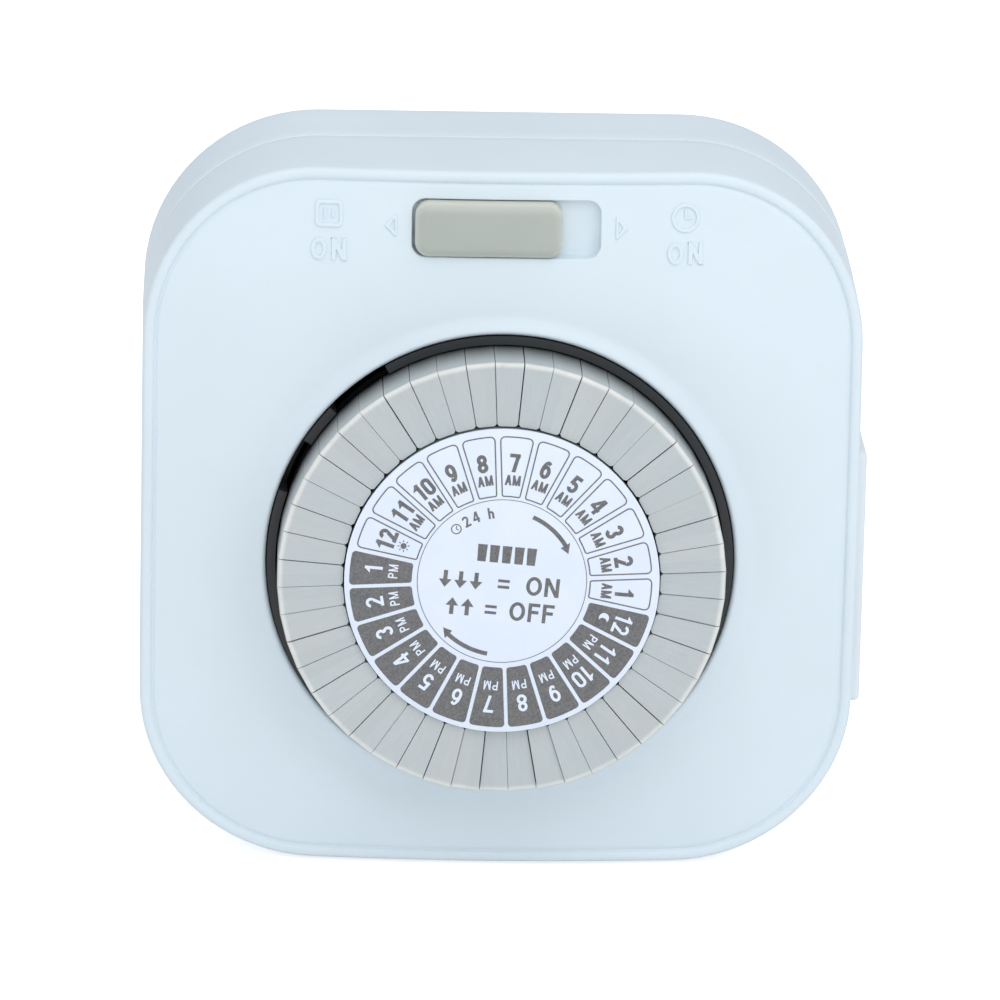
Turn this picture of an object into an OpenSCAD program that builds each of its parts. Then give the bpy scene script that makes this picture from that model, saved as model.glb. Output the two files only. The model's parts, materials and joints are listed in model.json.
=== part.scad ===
// Plug-in timer switch: a mechanical 24 hour socket timer with 48 push pins,
// an override slider on the front and one switched outlet on the right side.
//
// Millimetres. The part is drawn as it hangs on a wall: the front looks along -Y,
// +X is to the right seen from the front and +Z is up. The back of the case is the
// plane y = 0, and the origin is the middle of the plug there. Depths are measured
// forward from the wall, so a depth d lies at y = -d. Places across the front are
// written [x, z] from the middle of the case.

/* [Case] */
// Width and height of the case
case_w = 70.6; // [66:0.2:80]
// Radius of the four corners seen from the front
corner_r = 17.3; // [14:0.1:22]
// Thickness of the case walls
wall = 2; // [1.6:0.1:2.4]
// Depth of the joint between the rear and the front shell
seam_d = 12; // [11:0.5:13]
// Depth of the front edge at the middle of a side
edge_d = 26; // [25.6:0.1:27]
// Radius of the domed front face
dome_r = 175; // [150:1:260]
// Width of the raised border around the front face
border_w = 1.3; // [0.8:0.1:2]
// Height of the border above the face
border_h = 0.35; // [0.2:0.05:0.5]

/* [Plug] */
// Height of the plug's middle above the middle of the case
plug_rise = 14; // [10:0.5:16]
// Distance between the two blades
blade_gap = 12.7; // [12.5:0.1:13]
// Thickness of a blade
blade_t = 1.5; // [1.3:0.05:1.65]
// Width of the line blade
line_blade_w = 6.35; // [6:0.05:6.6]
// Width of the polarised neutral blade
neutral_blade_w = 7.9; // [7.6:0.05:8.2]
// Length of the blades outside the case
blade_len = 16.5; // [15:0.5:18]
// Radius of the hole in each blade
blade_hole_r = 1.6; // [1:0.1:1.8]
// Clearance of a blade in its slot
blade_fit = 0.1; // [0.05:0.05:0.2]

/* [Dial] */
// Height of the dial's middle, from the middle of the case
dial_z = -3.4; // [-4:0.1:-2.4]
// Radius of the opening for the dial
opening_r = 22.9; // [22.9:0.1:23.6]
// Width of the flat top of the lip around the opening
lip_w = 0.5; // [0.3:0.1:1]
// Height of the lip's top above the front edge
lip_rise = 2.8; // [2.6:0.1:3.4]
// Slope of the lip's outer side, in degrees
lip_slope = 43; // [35:1:55]
// Distance from the edge of the opening to the pins' outer ends
pins_clear = 1.1; // [1:0.1:1.3]
// Length of the pins' faces, along a radius
pins_l = 6.4; // [5.9:0.1:6.8]
// Height of the pins' faces above the lip when they are up
pins_proud = 6; // [5.6:0.1:7.2]
// Height of the pins' outer ends, above their undercut
pin_end_h = 6.8; // [6.2:0.1:7.2]
// Travel of a pin from up to down
pin_travel = 2.5; // [2:0.1:2.5]
// Gap between two neighbouring pins
pin_gap = 0.12; // [0.1:0.01:0.3]
// Turn of the dial from seven in the morning at the top, in degrees clockwise
dial_turn = 4.7; // [0:0.1:15]
// Thickness of the printed label
label_t = 0.25; // [0.15:0.05:0.4]

/* [Override slider] */
// Distance of the slider's middle below the top of the case
slider_below = 5.7; // [5.5:0.1:6.5]
// Length of the recess in the cover
recess_l = 18.4; // [18:0.1:20]
// Height of the recess in the cover
recess_w = 5.8; // [5.6:0.1:6.4]
// Corner radius of the recess
recess_r = 1.25; // [0.8:0.05:2]
// Length of the knob
knob_l = 14.4; // [13:0.1:14.6]
// Height of the knob's top above the floor of its recess
knob_h = 2.9; // [2.4:0.1:3.4]
// Gap between the knob and the sides of its recess
knob_gap = 0.2; // [0.15:0.05:0.3]

/* [Side outlet] */
// Height of the outlet's middle, from the middle of the case
outlet_z = -7.8; // [-8.4:0.1:-7.2]
// Depth of the outlet's middle
outlet_d = 9.6; // [9.2:0.1:9.8]
// Height of the outlet's face
outlet_h = 25.8; // [24:0.2:27]
// Width of the outlet's face, front to back
outlet_w = 16; // [15:0.2:17]
// How far the outlet's face stands proud of the side
outlet_proud = 1.2; // [0.6:0.1:1.8]
// Clearance of a blade in the outlet's slots
outlet_fit = 0.3; // [0.2:0.05:0.4]

/* [Works] */
// Distance from the front edge back to the chassis plate
plate_back = 11.7; // [11.6:0.05:11.8]
// Thickness of the chassis plate
plate_t = 1.4; // [1.2:0.1:1.5]
// Radius of the dial's shaft
shaft_r = 3; // [2.5:0.1:3.5]
// Clearance of a shaft in its bore
run_fit = 0.05; // [0.02:0.01:0.08]
// Teeth of the ring gear on the dial wheel
ring_teeth = 46; // [44:2:48]
// Teeth of the small gear that drives the ring gear
idler_teeth = 10; // [10:1:12]
// Tooth module of the ring gear pair
ring_module = 0.5; // [0.48:0.01:0.5]
// Teeth of the large gear on the idler
wheel_teeth = 32; // [30:1:34]
// Teeth of the motor's pinion
pinion_teeth = 10; // [10:1:12]
// Tooth module of the motor's gear pair
wheel_module = 0.4; // [0.36:0.01:0.4]
// Thickness of the gears
gear_t = 1.6; // [1.2:0.1:1.6]
// Radius of the motor
motor_r = 15; // [13:0.5:15]
// Length of the motor
motor_len = 9; // [8:0.5:10]
// Place of the motor's shaft, from the middle of the case
motor_at = [-6, -14];
// Radius of the wires
wire_r = 0.8; // [0.6:0.1:0.9]

/* [Hidden] */
$fn = 64;
eps = 0.01;
// How far a cut reaches past the wall it goes through.
over = 1;
case_half = case_w / 2;
dial_at = [0, dial_z];
plate_d = edge_d - plate_back;
plate_front_d = plate_d + plate_t;
lip_d = edge_d + lip_rise;
pins_d = lip_d + pins_proud;
pins_r = opening_r - pins_clear;
pins_in_r = pins_r - pins_l;

// The domed face is part of a sphere that passes through the middle of each front edge.
dome_c = edge_d - sqrt(pow(dome_r, 2) - pow(case_half, 2));
dome_top = dome_c + dome_r;
function dome_at(p, r = dome_r) = dome_c + sqrt(pow(r, 2) - pow(norm(p), 2));

// Pins: one every half hour, in pairs that share an hour.
hours = 24;
pins_per_hour = 2;
pin_step = 360 / (hours * pins_per_hour);
pin_notch = 0.35;
tail_in_r = pins_r - 2.5;
tail_out_r = pins_r - 0.7;
tail_w = 1.2;
hook_h = 0.5;
hook_out = 0.4;
slot_fit = 0.1;
disc_r = pins_r - 0.25;
sleeve_h = 5;
sleeve_w = 2;
shaft_over = 6;
// The hub closes the drum inside the ring of pins and carries the label.
drum_t = 2.8;
drum_r = pins_in_r - 0.2;
hub_d = pins_d + 0.25;
hub_t = 2.2;
hub_plug_h = 3;
hub_plug_t = 1.2;
press_gap = 0.02;
label_r = pins_in_r - 0.1;
dial_screw_r = 1.2;
dial_screw_l = 5.5;
dial_screw_head_t = 1.4;
washer_t = 0.8;

// Hour k runs from 1 (one in the morning) to 24 (midnight), counter-clockwise round the dial.
function hour_name(k) =
    k == 12 ? "12noon" : k == 24 ? "12night" : k < 12 ? str(k, "am") : str(k - 12, "pm");
top_hour = 7;
function hour_angle(k) = 90 - (dial_turn + (top_hour - k) * 360 / hours);

// Gear train, each gear's height read from the plate forward.
layer_gap = 0.3;
wheel_d = plate_front_d + layer_gap;
ring_d = wheel_d + gear_t + layer_gap;
ring_r = ring_module * ring_teeth / 2;
idler_r = ring_module * idler_teeth / 2;
wheel_r = wheel_module * wheel_teeth / 2;
pinion_r = wheel_module * pinion_teeth / 2;
function root_r(teeth, m) = m * (teeth / 2 - 1.2);
function tip_r(teeth, m) = m * (teeth / 2 + 0.8);
// The dial wheel's disc lies in front of the ring gear, past the room for the pins' hooks.
disc_gap = 2.8;
disc_t = 2;
disc_back_d = ring_d + gear_t + disc_gap;
disc_front_d = disc_back_d + disc_t;
tail_end_d = disc_back_d - hook_h - slot_fit;
// The pins' heads stop short of the disc when they are down.
disc_play = 0.2;
head_h = pins_d - pin_travel - disc_play - disc_front_d;
backlash = 0.04;
gear_clear = 0.4;
shoulder_w = 1;
ring_reach = ring_r + idler_r + backlash;
wheel_reach = wheel_r + pinion_r + backlash;
motor_v = motor_at - dial_at;
motor_dist = norm(motor_v);
motor_angle = atan2(motor_v[1], motor_v[0]);
// The idler lies where both of its gears are in mesh.
idler_angle = motor_angle
    - acos((pow(ring_reach, 2) + pow(motor_dist, 2) - pow(wheel_reach, 2))
        / (2 * ring_reach * motor_dist));
idler_at = dial_at + ring_reach * [cos(idler_angle), sin(idler_angle)];
to_motor = motor_at - idler_at;
to_motor_angle = atan2(to_motor[1], to_motor[0]);
// Turn of a gear so that its gap meets a tooth of its neighbour on their line of centres.
function mesh_turn(line, own_teeth, other_teeth, other_turn) =
    line + 180 - (0.5 - (line - other_turn) * other_teeth / 360) * 360 / own_teeth;
ring_turn = 0;
idler_turn = mesh_turn(idler_angle, idler_teeth, ring_teeth, ring_turn);
wheel_turn = 0;
pinion_turn = mesh_turn(to_motor_angle, pinion_teeth, wheel_teeth, wheel_turn);
arbor_r = 0.8;
arbor_head_r = 1.3;
arbor_head_t = 0.4;

// Motor: a can with a coil round a magnet rotor, closed by an end plate.
motor_wall = 0.6;
motor_back_d = plate_d - motor_len;
motor_shaft_r = 1.5;
rotor_r = 8;
air_gap = 0.4;
end_plate_t = 0.8;

// Charcoal collar that lines the dial's opening.
collar_out_r = opening_r - 0.1;
collar_in_r = pins_r + 0.15;
collar_d = lip_d - 0.2;
// Windows in the collar, in degrees counter-clockwise from the top.
switch_window = [30.5, 47.6];
switch_window_d = plate_front_d + 0.8;
side_window = [58, 72];
side_window_d = tail_end_d + 2;
window_reach = opening_r + 3;

// The switch lever rocks on a pin outside the collar and feels the pins' tails through
// the switch window.
lever_angle = 90 + (switch_window[0] + switch_window[1]) / 2;
lever_pivot_r = opening_r + 6.1;
lever_tip_r = (tail_in_r + tail_out_r) / 2;
lever_tail = 7;
lever_body = 5.5;
lever_w = 4;
finger_w = 2;
finger_end = lever_pivot_r - lever_tip_r + 0.8;
lever_t = 1.6;
lever_top_d = tail_end_d - pin_travel - 0.15;
lever_pivot_d = lever_top_d - lever_t / 2;
pivot_r = 0.8;
pivot_rim = 1;
ear_t = 1.4;
ear_gap = 0.2;
ear_l = 3.6;
ear_over = 0.7;
lever_span = lever_w + 2 * (ear_gap + ear_t);
// Contacts: one on the lever's tail, and a fixed one over it on a foot beside the lever.
contact_s = -5;
rivet_r = 1.3;
rivet_h = 0.6;
shank_r = 0.9;
leaf_l = 3.2;
leaf_t = 0.4;
contact_gap = 0.1;
fixed_d = lever_top_d + rivet_h + contact_gap;
fixed_t = 0.6;
fixed_l = 4.4;
fixed_w = 4;
fixed_arm = [3.4, 6.2];
fixed_foot = [1, 2];
fixed_foot_at = [contact_s - 1.2, 6];

// Slider: the knob rides in a recess and is snapped to a plate behind the face.
slider_z = case_half - slider_below;
slider_travel = recess_l - 2 * knob_gap - knob_l;
knob_at = [-slider_travel / 2, slider_z];
recess_d = dome_at([0, slider_z + recess_w / 2]) - border_h - 1;
recess_floor_t = 1.4;
knob_d = recess_d + knob_h;
knob_w = recess_w - 2 * knob_gap;
knob_lift = 0.1;
post_l = 5.4;
post_w = 2.6;
post_fit = 0.2;
slide_play = 0.3;
slide_plate_t = 1.6;
slide_plate_d = recess_d - recess_floor_t - slide_play - slide_plate_t;
slide_plate_l = 20;
slide_plate_w = 5.4;
arm_w = slide_plate_w / 2 - 1;
ramp_z = 17;
ramp_w = 2;
ramp_right_x = -14.4;
ramp_l = 4.6;
ramp_rise = 0.5;
ramp_gap = 0.2;

// Screws and their bosses.
cover_screw_x = case_half - 6.3;
cover_screw_low = case_half - 10.3;
cover_screws_at = [[-cover_screw_x, 12], [cover_screw_x, 12],
                   [-cover_screw_low, -cover_screw_low], [cover_screw_low, -cover_screw_low]];
cover_screw_r = 1.4;
cover_screw_l = 11;
cover_boss_r = 3.4;
rear_boss_r = 4;
head_r = 2.5;
head_t = 1.6;
head_fit = 0.3;
head_floor_d = seam_d - 3;
screw_fit = 0.25;
slot_l = 2.8;
slot_w = 0.6;
slot_t = 0.9;
plate_post_r = opening_r + 4.1;
plate_posts = [90, 195, 300];
plate_screw_r = 1.1;
plate_screw_l = 7;
plate_head_r = 2.2;
plate_boss_r = 3;
plate_rim = 0.6;
function plate_post_at(a) = dial_at + plate_post_r * [cos(a), sin(a)];

// Plug and outlet.
blade_tip = 2;
blade_hole_at = 11.9;
flange_t = 1.2;
flange_l = 4.4;
flange_over = 1.5;
terminal_t = 0.9;
terminal_h = 4;
terminal_w = 4.6;
clip_t = 0.5;
clip_pinch = 0.3;
clip_in_x = collar_out_r + plate_rim + 0.8;
clip_gap = 0.3;
clip_rest_l = 6;
clip_rest_w = 3.2;
insert_flange_w = 1.4;
insert_flange_t = 1.2;
insert_flange_in = 0.4;
// The insert's block reaches a little further in than its flange.
insert_in = insert_flange_t + 0.1;
outlet_line_z = outlet_z + blade_gap / 2;
outlet_neutral_z = outlet_z - blade_gap / 2;

// ---- helpers ----

// Puts a shape drawn in x and z at a depth, and gives it a thickness towards the front.
module slab(d, t) translate([0, -d, -plug_rise]) rotate([90, 0, 0]) linear_extrude(t) children();

// The same for a solid turned about the line from the wall to the front.
module turned(d) translate([0, -d, -plug_rise]) rotate([90, 0, 0]) children();

module rounded(w, h, r) {
    square([w - 2 * r, h], center = true);
    square([w, h - 2 * r], center = true);
    for (x = [-1, 1], z = [-1, 1])
        translate([x * (w / 2 - r), z * (h / 2 - r)]) circle(r);
}

module case_outline(inset = 0)
    rounded(case_w - 2 * inset, case_w - 2 * inset, corner_r - inset);

module dome(shrink = 0) turned(dome_c) sphere(dome_r - shrink, $fn = 180);

module ring(r_out, r_in) difference() {
    circle(r_out);
    circle(r_in);
}

// Gear outline with straight-sided teeth; a tooth points along the x axis.
module gear_shape(teeth, m) {
    pitch = 360 / teeth;
    root = root_r(teeth, m);
    tip = tip_r(teeth, m);
    root_half = 0.27 * pitch;
    tip_half = 0.09 * pitch;
    polygon([for (i = [0:teeth - 1], s = [[root, -root_half], [tip, -tip_half],
                                           [tip, tip_half], [root, root_half]])
        s[0] * [cos(i * pitch + s[1]), sin(i * pitch + s[1])]]);
}

// Smooth curve through points, with a few steps between each two of them.
function curve(p, steps = 4) = [
    for (i = [0:len(p) - 2], j = [0:steps - 1])
        let (a = p[max(i - 1, 0)], b = p[i], c = p[i + 1], d = p[min(i + 2, len(p) - 1)], t = j / steps)
            0.5 * (2 * b + t * (c - a) + t * t * (2 * a - 5 * b + 4 * c - d)
                + t * t * t * (3 * b - a - 3 * c + d)),
    p[len(p) - 1]];

function unit(v) = v / norm(v);

// Insulated wire through points given as [x, depth, z].
module wire(points, sides = 8) {
    path = curve([for (q = points) [q[0], -q[1], q[2] - plug_rise]]);
    last = len(path) - 1;
    rings = [for (i = [0:last])
        let (t = unit(path[min(i + 1, last)] - path[max(i - 1, 0)]),
             u = unit(cross(t, abs(t[1]) < 0.9 ? [0, 1, 0] : [1, 0, 0])), v = cross(t, u))
        for (k = [0:sides - 1])
            path[i] + wire_r * (cos(360 * k / sides) * u + sin(360 * k / sides) * v)];
    polyhedron(rings, concat(
        [[for (k = [0:sides - 1]) k]],
        [for (i = [0:last - 1], k = [0:sides - 1]) let (n = (k + 1) % sides)
            [i * sides + k, (i + 1) * sides + k, (i + 1) * sides + n, i * sides + n]],
        [[for (k = [sides - 1:-1:0]) last * sides + k]]));
}

// ---- case ----

module rear_cover() color([0.86, 0.90, 0.93]) difference() {
    union() {
        difference() {
            slab(0, seam_d) case_outline();
            slab(wall, seam_d) case_outline(wall);
        }
        for (p = cover_screws_at) slab(wall - eps, seam_d - wall + eps) translate(p) circle(rear_boss_r);
        for (a = plate_posts)
            slab(wall - eps, plate_d - wall + eps) translate(plate_post_at(a)) circle(plate_boss_r);
        for (s = [[outlet_line_z, line_blade_w], [outlet_neutral_z, neutral_blade_w]])
            slab(wall - eps, outlet_d - s[1] / 2 - clip_gap - wall)
                translate([clip_in_x, s[0] - clip_rest_w / 2]) square([clip_rest_l, clip_rest_w]);
    }
    for (p = cover_screws_at) {
        slab(-over, head_floor_d + over) translate(p) circle(head_r + head_fit);
        slab(-over, seam_d + 2 * over) translate(p) circle(cover_screw_r + screw_fit);
    }
    for (a = plate_posts)
        slab(plate_front_d - plate_screw_l - over, plate_screw_l + over)
            translate(plate_post_at(a)) circle(plate_screw_r + run_fit);
    for (s = [[blade_gap / 2, line_blade_w], [-blade_gap / 2, neutral_blade_w]])
        slab(-over, wall + 2 * over) translate([s[0], plug_rise])
            square([blade_t + 2 * blade_fit, s[1] + 2 * blade_fit], center = true);
    outlet_cut();
}

// The hole in the case wall that the outlet's insert fills.
module outlet_cut()
    translate([case_half - wall - insert_in, -outlet_d - outlet_w / 2,
               outlet_z - outlet_h / 2 - plug_rise])
        cube([insert_in + wall + over, outlet_w, outlet_h]);

module lip() turned(0) translate([dial_at[0], dial_at[1], 0]) {
    reach = 4;
    foot_d = dome_top - wall - 3.5;
    rotate_extrude() polygon([
        [opening_r, foot_d],
        [opening_r, lip_d],
        [opening_r + lip_w, lip_d],
        [opening_r + lip_w + reach, lip_d - reach * tan(lip_slope)],
        [opening_r + wall, foot_d]]);
}

module front_cover() color([0.88, 0.93, 0.95]) difference() {
    // The border's step starts behind the corners of the domed face.
    corner_drop = 4;
    union() {
        difference() {
            intersection() {
                slab(seam_d, dome_top) case_outline();
                dome();
            }
            intersection() {
                slab(seam_d - over, dome_top) case_outline(wall);
                dome(wall + border_h);
            }
            difference() {
                slab(edge_d - corner_drop, dome_top) case_outline(border_w);
                dome(border_h);
            }
        }
        lip();
        intersection() {
            for (p = cover_screws_at)
                slab(seam_d, dome_top) translate(p) circle(cover_boss_r);
            dome(wall);
        }
        intersection() {
            slab(recess_d - recess_floor_t, dome_top) translate([0, slider_z])
                square([recess_l + 2 * wall, recess_w + 2 * wall], center = true);
            slab(seam_d, dome_top) case_outline(wall / 2);
            dome(wall);
        }
    }
    slab(seam_d - over, dome_top) translate(dial_at) circle(opening_r);
    for (p = cover_screws_at)
        slab(seam_d - over, head_floor_d + cover_screw_l - seam_d + 2 * over)
            translate(p) circle(cover_screw_r);
    slab(recess_d, dome_top - recess_d) translate([0, slider_z])
        rounded(recess_l, recess_w, recess_r);
    slab(recess_d - recess_floor_t - over, recess_floor_t + 2 * over) translate([0, slider_z])
        square([post_l + slider_travel + 2 * post_fit, post_w + 2 * post_fit], center = true);
    outlet_cut();
}

module cover_screws() color([0.62, 0.63, 0.65]) for (p = cover_screws_at) difference() {
    union() {
        slab(head_floor_d - head_t, head_t) translate(p) circle(head_r);
        slab(head_floor_d - eps, cover_screw_l) translate(p) circle(cover_screw_r - press_gap);
    }
    for (size = [[slot_l, slot_w], [slot_w, slot_l]])
        slab(head_floor_d - head_t - over, slot_t + over) translate(p) square(size, center = true);
}

// ---- chassis ----

module window_wedge(span, reach) polygon([
    [0, 0],
    reach * [cos(90 + span[0]), sin(90 + span[0])],
    reach * 1.1 * [cos(90 + (span[0] + span[1]) / 2), sin(90 + (span[0] + span[1]) / 2)],
    reach * [cos(90 + span[1]), sin(90 + span[1])]]);

// Places a shape on the lever's line, with x towards the dial and the pivot at 0.
module lever_line() translate(dial_at) rotate(lever_angle)
    translate([lever_pivot_r, 0]) rotate(180) children();

module chassis_plate() color([0.25, 0.26, 0.28]) difference() {
    union() {
        slab(plate_d, plate_t) {
            translate(dial_at) circle(collar_out_r + plate_rim);
            for (a = plate_posts) {
                translate(plate_post_at(a)) circle(plate_boss_r + plate_rim);
                translate(dial_at) rotate(a) translate([collar_in_r - 2, -plate_boss_r])
                    square([plate_post_r - collar_in_r + 2, 2 * plate_boss_r]);
            }
            lever_line() translate([-ear_l / 2, -lever_span / 2])
                square([lever_pivot_r - collar_in_r + 3, lever_span]);
        }
        for (s = [-1, 1])
            slab(plate_front_d - eps, lever_pivot_d + pivot_r + ear_over - plate_front_d)
                lever_line() translate([0, s * (lever_w / 2 + ear_gap + ear_t / 2)])
                    square([ear_l, ear_t], center = true);
        slab(plate_front_d - eps, disc_front_d + shaft_over - plate_front_d)
            translate(dial_at) circle(shaft_r);
        slab(plate_front_d - eps, ring_d + eps - plate_front_d - layer_gap / 2)
            translate(dial_at) circle(shaft_r + shoulder_w);
    }
    slab(plate_d - over, plate_t + 2 * over) {
        translate(idler_at) circle(arbor_r);
        translate(motor_at) circle(tip_r(pinion_teeth, wheel_module) + gear_clear);
        for (a = plate_posts) translate(plate_post_at(a)) circle(plate_screw_r + screw_fit);
    }
    slab(disc_front_d + shaft_over - dial_screw_l - over, dial_screw_l + 2 * over)
        translate(dial_at) circle(dial_screw_r);
    lever_bore();
}

module lever_bore(r = pivot_r) lever_cross(r, lever_span + 2 * over);

// Cylinder along the lever's pivot.
module lever_cross(r, l) turned(lever_pivot_d) lever_line() rotate([90, 0, 0])
    cylinder(r = r, h = l, center = true);

module dial_collar() color([0.22, 0.23, 0.25]) difference() {
    slab(plate_front_d, collar_d - plate_front_d) translate(dial_at)
        ring(collar_out_r, collar_in_r);
    slab(switch_window_d, collar_d) translate(dial_at) window_wedge(switch_window, window_reach);
    slab(side_window_d, collar_d) translate(dial_at) window_wedge(side_window, window_reach);
}

module chassis_screws() color([0.62, 0.63, 0.65]) for (a = plate_posts) difference() {
    union() {
        slab(plate_front_d, head_t) translate(plate_post_at(a)) circle(plate_head_r);
        slab(plate_front_d - plate_screw_l, plate_screw_l + eps)
            translate(plate_post_at(a)) circle(plate_screw_r);
    }
    slab(plate_front_d + head_t - slot_t, slot_t + over) translate(plate_post_at(a))
        square([slot_l, slot_w], center = true);
}

// ---- motor and gears ----

module motor_can() color([0.72, 0.73, 0.74]) difference() {
    slab(motor_back_d, motor_len) translate(motor_at) circle(motor_r);
    slab(motor_back_d + motor_wall, motor_len) translate(motor_at) circle(motor_r - motor_wall);
    slab(motor_back_d - over, motor_wall + 2 * over) translate(motor_at) circle(motor_shaft_r + run_fit);
}

module motor_end_plate() color([0.68, 0.69, 0.70]) difference() {
    slab(plate_d - end_plate_t, end_plate_t) translate(motor_at)
        circle(motor_r - motor_wall - press_gap);
    slab(plate_d - end_plate_t - over, end_plate_t + 2 * over) translate(motor_at)
        circle(motor_shaft_r + run_fit);
}

module motor_coil() color([0.66, 0.33, 0.16])
    slab(motor_back_d + motor_wall + run_fit, motor_len - motor_wall - end_plate_t - air_gap)
        translate(motor_at) ring(motor_r - motor_wall - air_gap, rotor_r + air_gap);

// The motor's magnet rotor and its geared pinion turn as one piece.
module motor_pinion() color([0.90, 0.88, 0.80]) {
    slab(motor_back_d + run_fit, wheel_d - motor_back_d) translate(motor_at) circle(motor_shaft_r);
    slab(motor_back_d + motor_wall + air_gap, motor_len - motor_wall - end_plate_t - 2 * air_gap)
        translate(motor_at) circle(rotor_r);
    slab(wheel_d, gear_t) translate(motor_at) rotate(pinion_turn)
        gear_shape(pinion_teeth, wheel_module);
}

module idler_gear() color([0.93, 0.92, 0.88]) difference() {
    union() {
        slab(wheel_d, gear_t) translate(idler_at) rotate(wheel_turn)
            gear_shape(wheel_teeth, wheel_module);
        slab(wheel_d + gear_t - eps, layer_gap + 2 * eps) translate(idler_at)
            circle(root_r(idler_teeth, ring_module) - run_fit);
        slab(ring_d, gear_t + layer_gap) translate(idler_at) rotate(idler_turn)
            gear_shape(idler_teeth, ring_module);
    }
    slab(wheel_d - over, ring_d + gear_t + layer_gap - wheel_d + 2 * over)
        translate(idler_at) circle(arbor_r + run_fit);
}

module idler_arbor() color([0.70, 0.71, 0.73]) {
    head_d = ring_d + gear_t + 2 * layer_gap;
    slab(plate_d, head_d - plate_d + eps) translate(idler_at) circle(arbor_r);
    slab(head_d, arbor_head_t) translate(idler_at) circle(arbor_head_r);
}

// ---- dial ----

module dial_wheel() color([0.78, 0.79, 0.77]) difference() {
    union() {
        slab(disc_back_d, disc_t) translate(dial_at) circle(disc_r);
        slab(disc_front_d - eps, hub_d - hub_t - disc_front_d + eps) translate(dial_at)
            ring(drum_r, drum_r - drum_t);
        slab(disc_front_d - eps, sleeve_h + eps) translate(dial_at) circle(shaft_r + sleeve_w);
        slab(ring_d, gear_t) translate(dial_at) rotate(ring_turn)
            gear_shape(ring_teeth, ring_module);
        slab(ring_d + gear_t - eps, disc_back_d - ring_d - gear_t + 2 * eps) translate(dial_at)
            circle(root_r(ring_teeth, ring_module) - gear_clear);
    }
    slab(ring_d - over, disc_front_d + sleeve_h - ring_d + 2 * over)
        translate(dial_at) circle(shaft_r + run_fit);
    slab(disc_back_d - over, disc_t + 2 * over) translate(dial_at) for (k = [0:hours * pins_per_hour - 1])
        rotate(90 - dial_turn + (k + 0.5) * pin_step)
            translate([tail_in_r - slot_fit, -tail_w / 2 - slot_fit])
                square([tail_out_r - tail_in_r + 2 * slot_fit, tail_w + 2 * slot_fit]);
}

module dial_hub() color([0.80, 0.81, 0.79]) {
    slab(hub_d - hub_t, hub_t) translate(dial_at) circle(drum_r);
    slab(hub_d - hub_t - hub_plug_h, hub_plug_h + eps) translate(dial_at)
        ring(drum_r - drum_t - press_gap, drum_r - drum_t - hub_plug_t);
}

module dial_label() color([0.93, 0.95, 0.98])
    slab(hub_d, label_t) translate(dial_at) circle(label_r);

module dial_screw() color([0.62, 0.63, 0.65]) difference() {
    union() {
        slab(disc_front_d + shaft_over, dial_screw_head_t) translate(dial_at)
            circle(shaft_r + sleeve_w - head_fit);
        slab(disc_front_d + shaft_over - dial_screw_l, dial_screw_l + eps)
            translate(dial_at) circle(dial_screw_r - press_gap);
    }
    slab(disc_front_d + shaft_over + dial_screw_head_t - slot_t, slot_t + over)
        translate(dial_at) square([slot_l, slot_w], center = true);
}

module clutch_washer() color([0.78, 0.68, 0.40])
    slab(disc_front_d + sleeve_h + (shaft_over - sleeve_h - washer_t) / 2, washer_t)
        translate(dial_at) ring(shaft_r + sleeve_w, shaft_r + run_fit);

// One half-hour pin, drawn along the x axis: a wedge-shaped head, undercut at its outer end,
// and a hooked tail.
module pin() {
    function half(r) = r * tan(pin_step / 2) - pin_gap / 2;
    module wedge(d, t, out_r)
        translate([0, 0, d]) linear_extrude(t) polygon([
            [pins_in_r, half(pins_in_r) - pin_notch],
            [pins_in_r + pin_notch, half(pins_in_r + pin_notch)],
            [out_r, half(out_r)],
            [out_r, -half(out_r)],
            [pins_in_r + pin_notch, -half(pins_in_r + pin_notch)],
            [pins_in_r, pin_notch - half(pins_in_r)]]);
    slab_at = pins_d - head_h;
    turned(0) translate(concat(dial_at, [0])) rotate($pin_angle) {
        wedge(slab_at, head_h, tail_out_r);
        wedge(pins_d - pin_end_h, pin_end_h, pins_r * cos(pin_step / 2));
        translate([tail_in_r, -tail_w / 2, tail_end_d])
            cube([tail_out_r - tail_in_r, tail_w, slab_at - tail_end_d + eps]);
        translate([tail_in_r - hook_out, -tail_w / 2, tail_end_d])
            cube([tail_out_r - tail_in_r + hook_out, tail_w, hook_h]);
    }
}

module hour_pins(k) color([0.78, 0.79, 0.76])
    for (s = [-0.5, 0.5]) let ($pin_angle = hour_angle(k) + s * pin_step) pin();

// ---- slider and switch ----

module slide_knob() color([0.70, 0.72, 0.68]) {
    foot_d = recess_d + knob_lift;
    slab(foot_d, knob_d - foot_d) translate(knob_at) rounded(knob_l, knob_w, recess_r - knob_gap);
    slab(slide_plate_d + slide_plate_t, foot_d - slide_plate_d - slide_plate_t + eps)
        translate(knob_at) square([post_l, post_w], center = true);
}

// The ramp under the plate's arm holds the lever down while the slider is at the left.
module slide_plate() color([0.85, 0.84, 0.80]) {
    arm_x = ramp_right_x - ramp_l;
    ramp_d = lever_top_d + ramp_gap;
    slab(slide_plate_d, slide_plate_t) {
        translate(knob_at) square([slide_plate_l, slide_plate_w], center = true);
        translate([arm_x, ramp_z]) square([ramp_l, slider_z - slide_plate_w / 2 + arm_w - ramp_z]);
        translate([arm_x, slider_z - slide_plate_w / 2]) square([knob_at[0] - arm_x, arm_w]);
    }
    translate([0, 0, ramp_z - plug_rise]) linear_extrude(ramp_w) polygon([
        [ramp_right_x, -slide_plate_d - eps],
        [arm_x, -slide_plate_d - eps],
        [arm_x, -ramp_d - ramp_rise * ramp_l],
        [ramp_right_x, -ramp_d]]);
}

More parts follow.
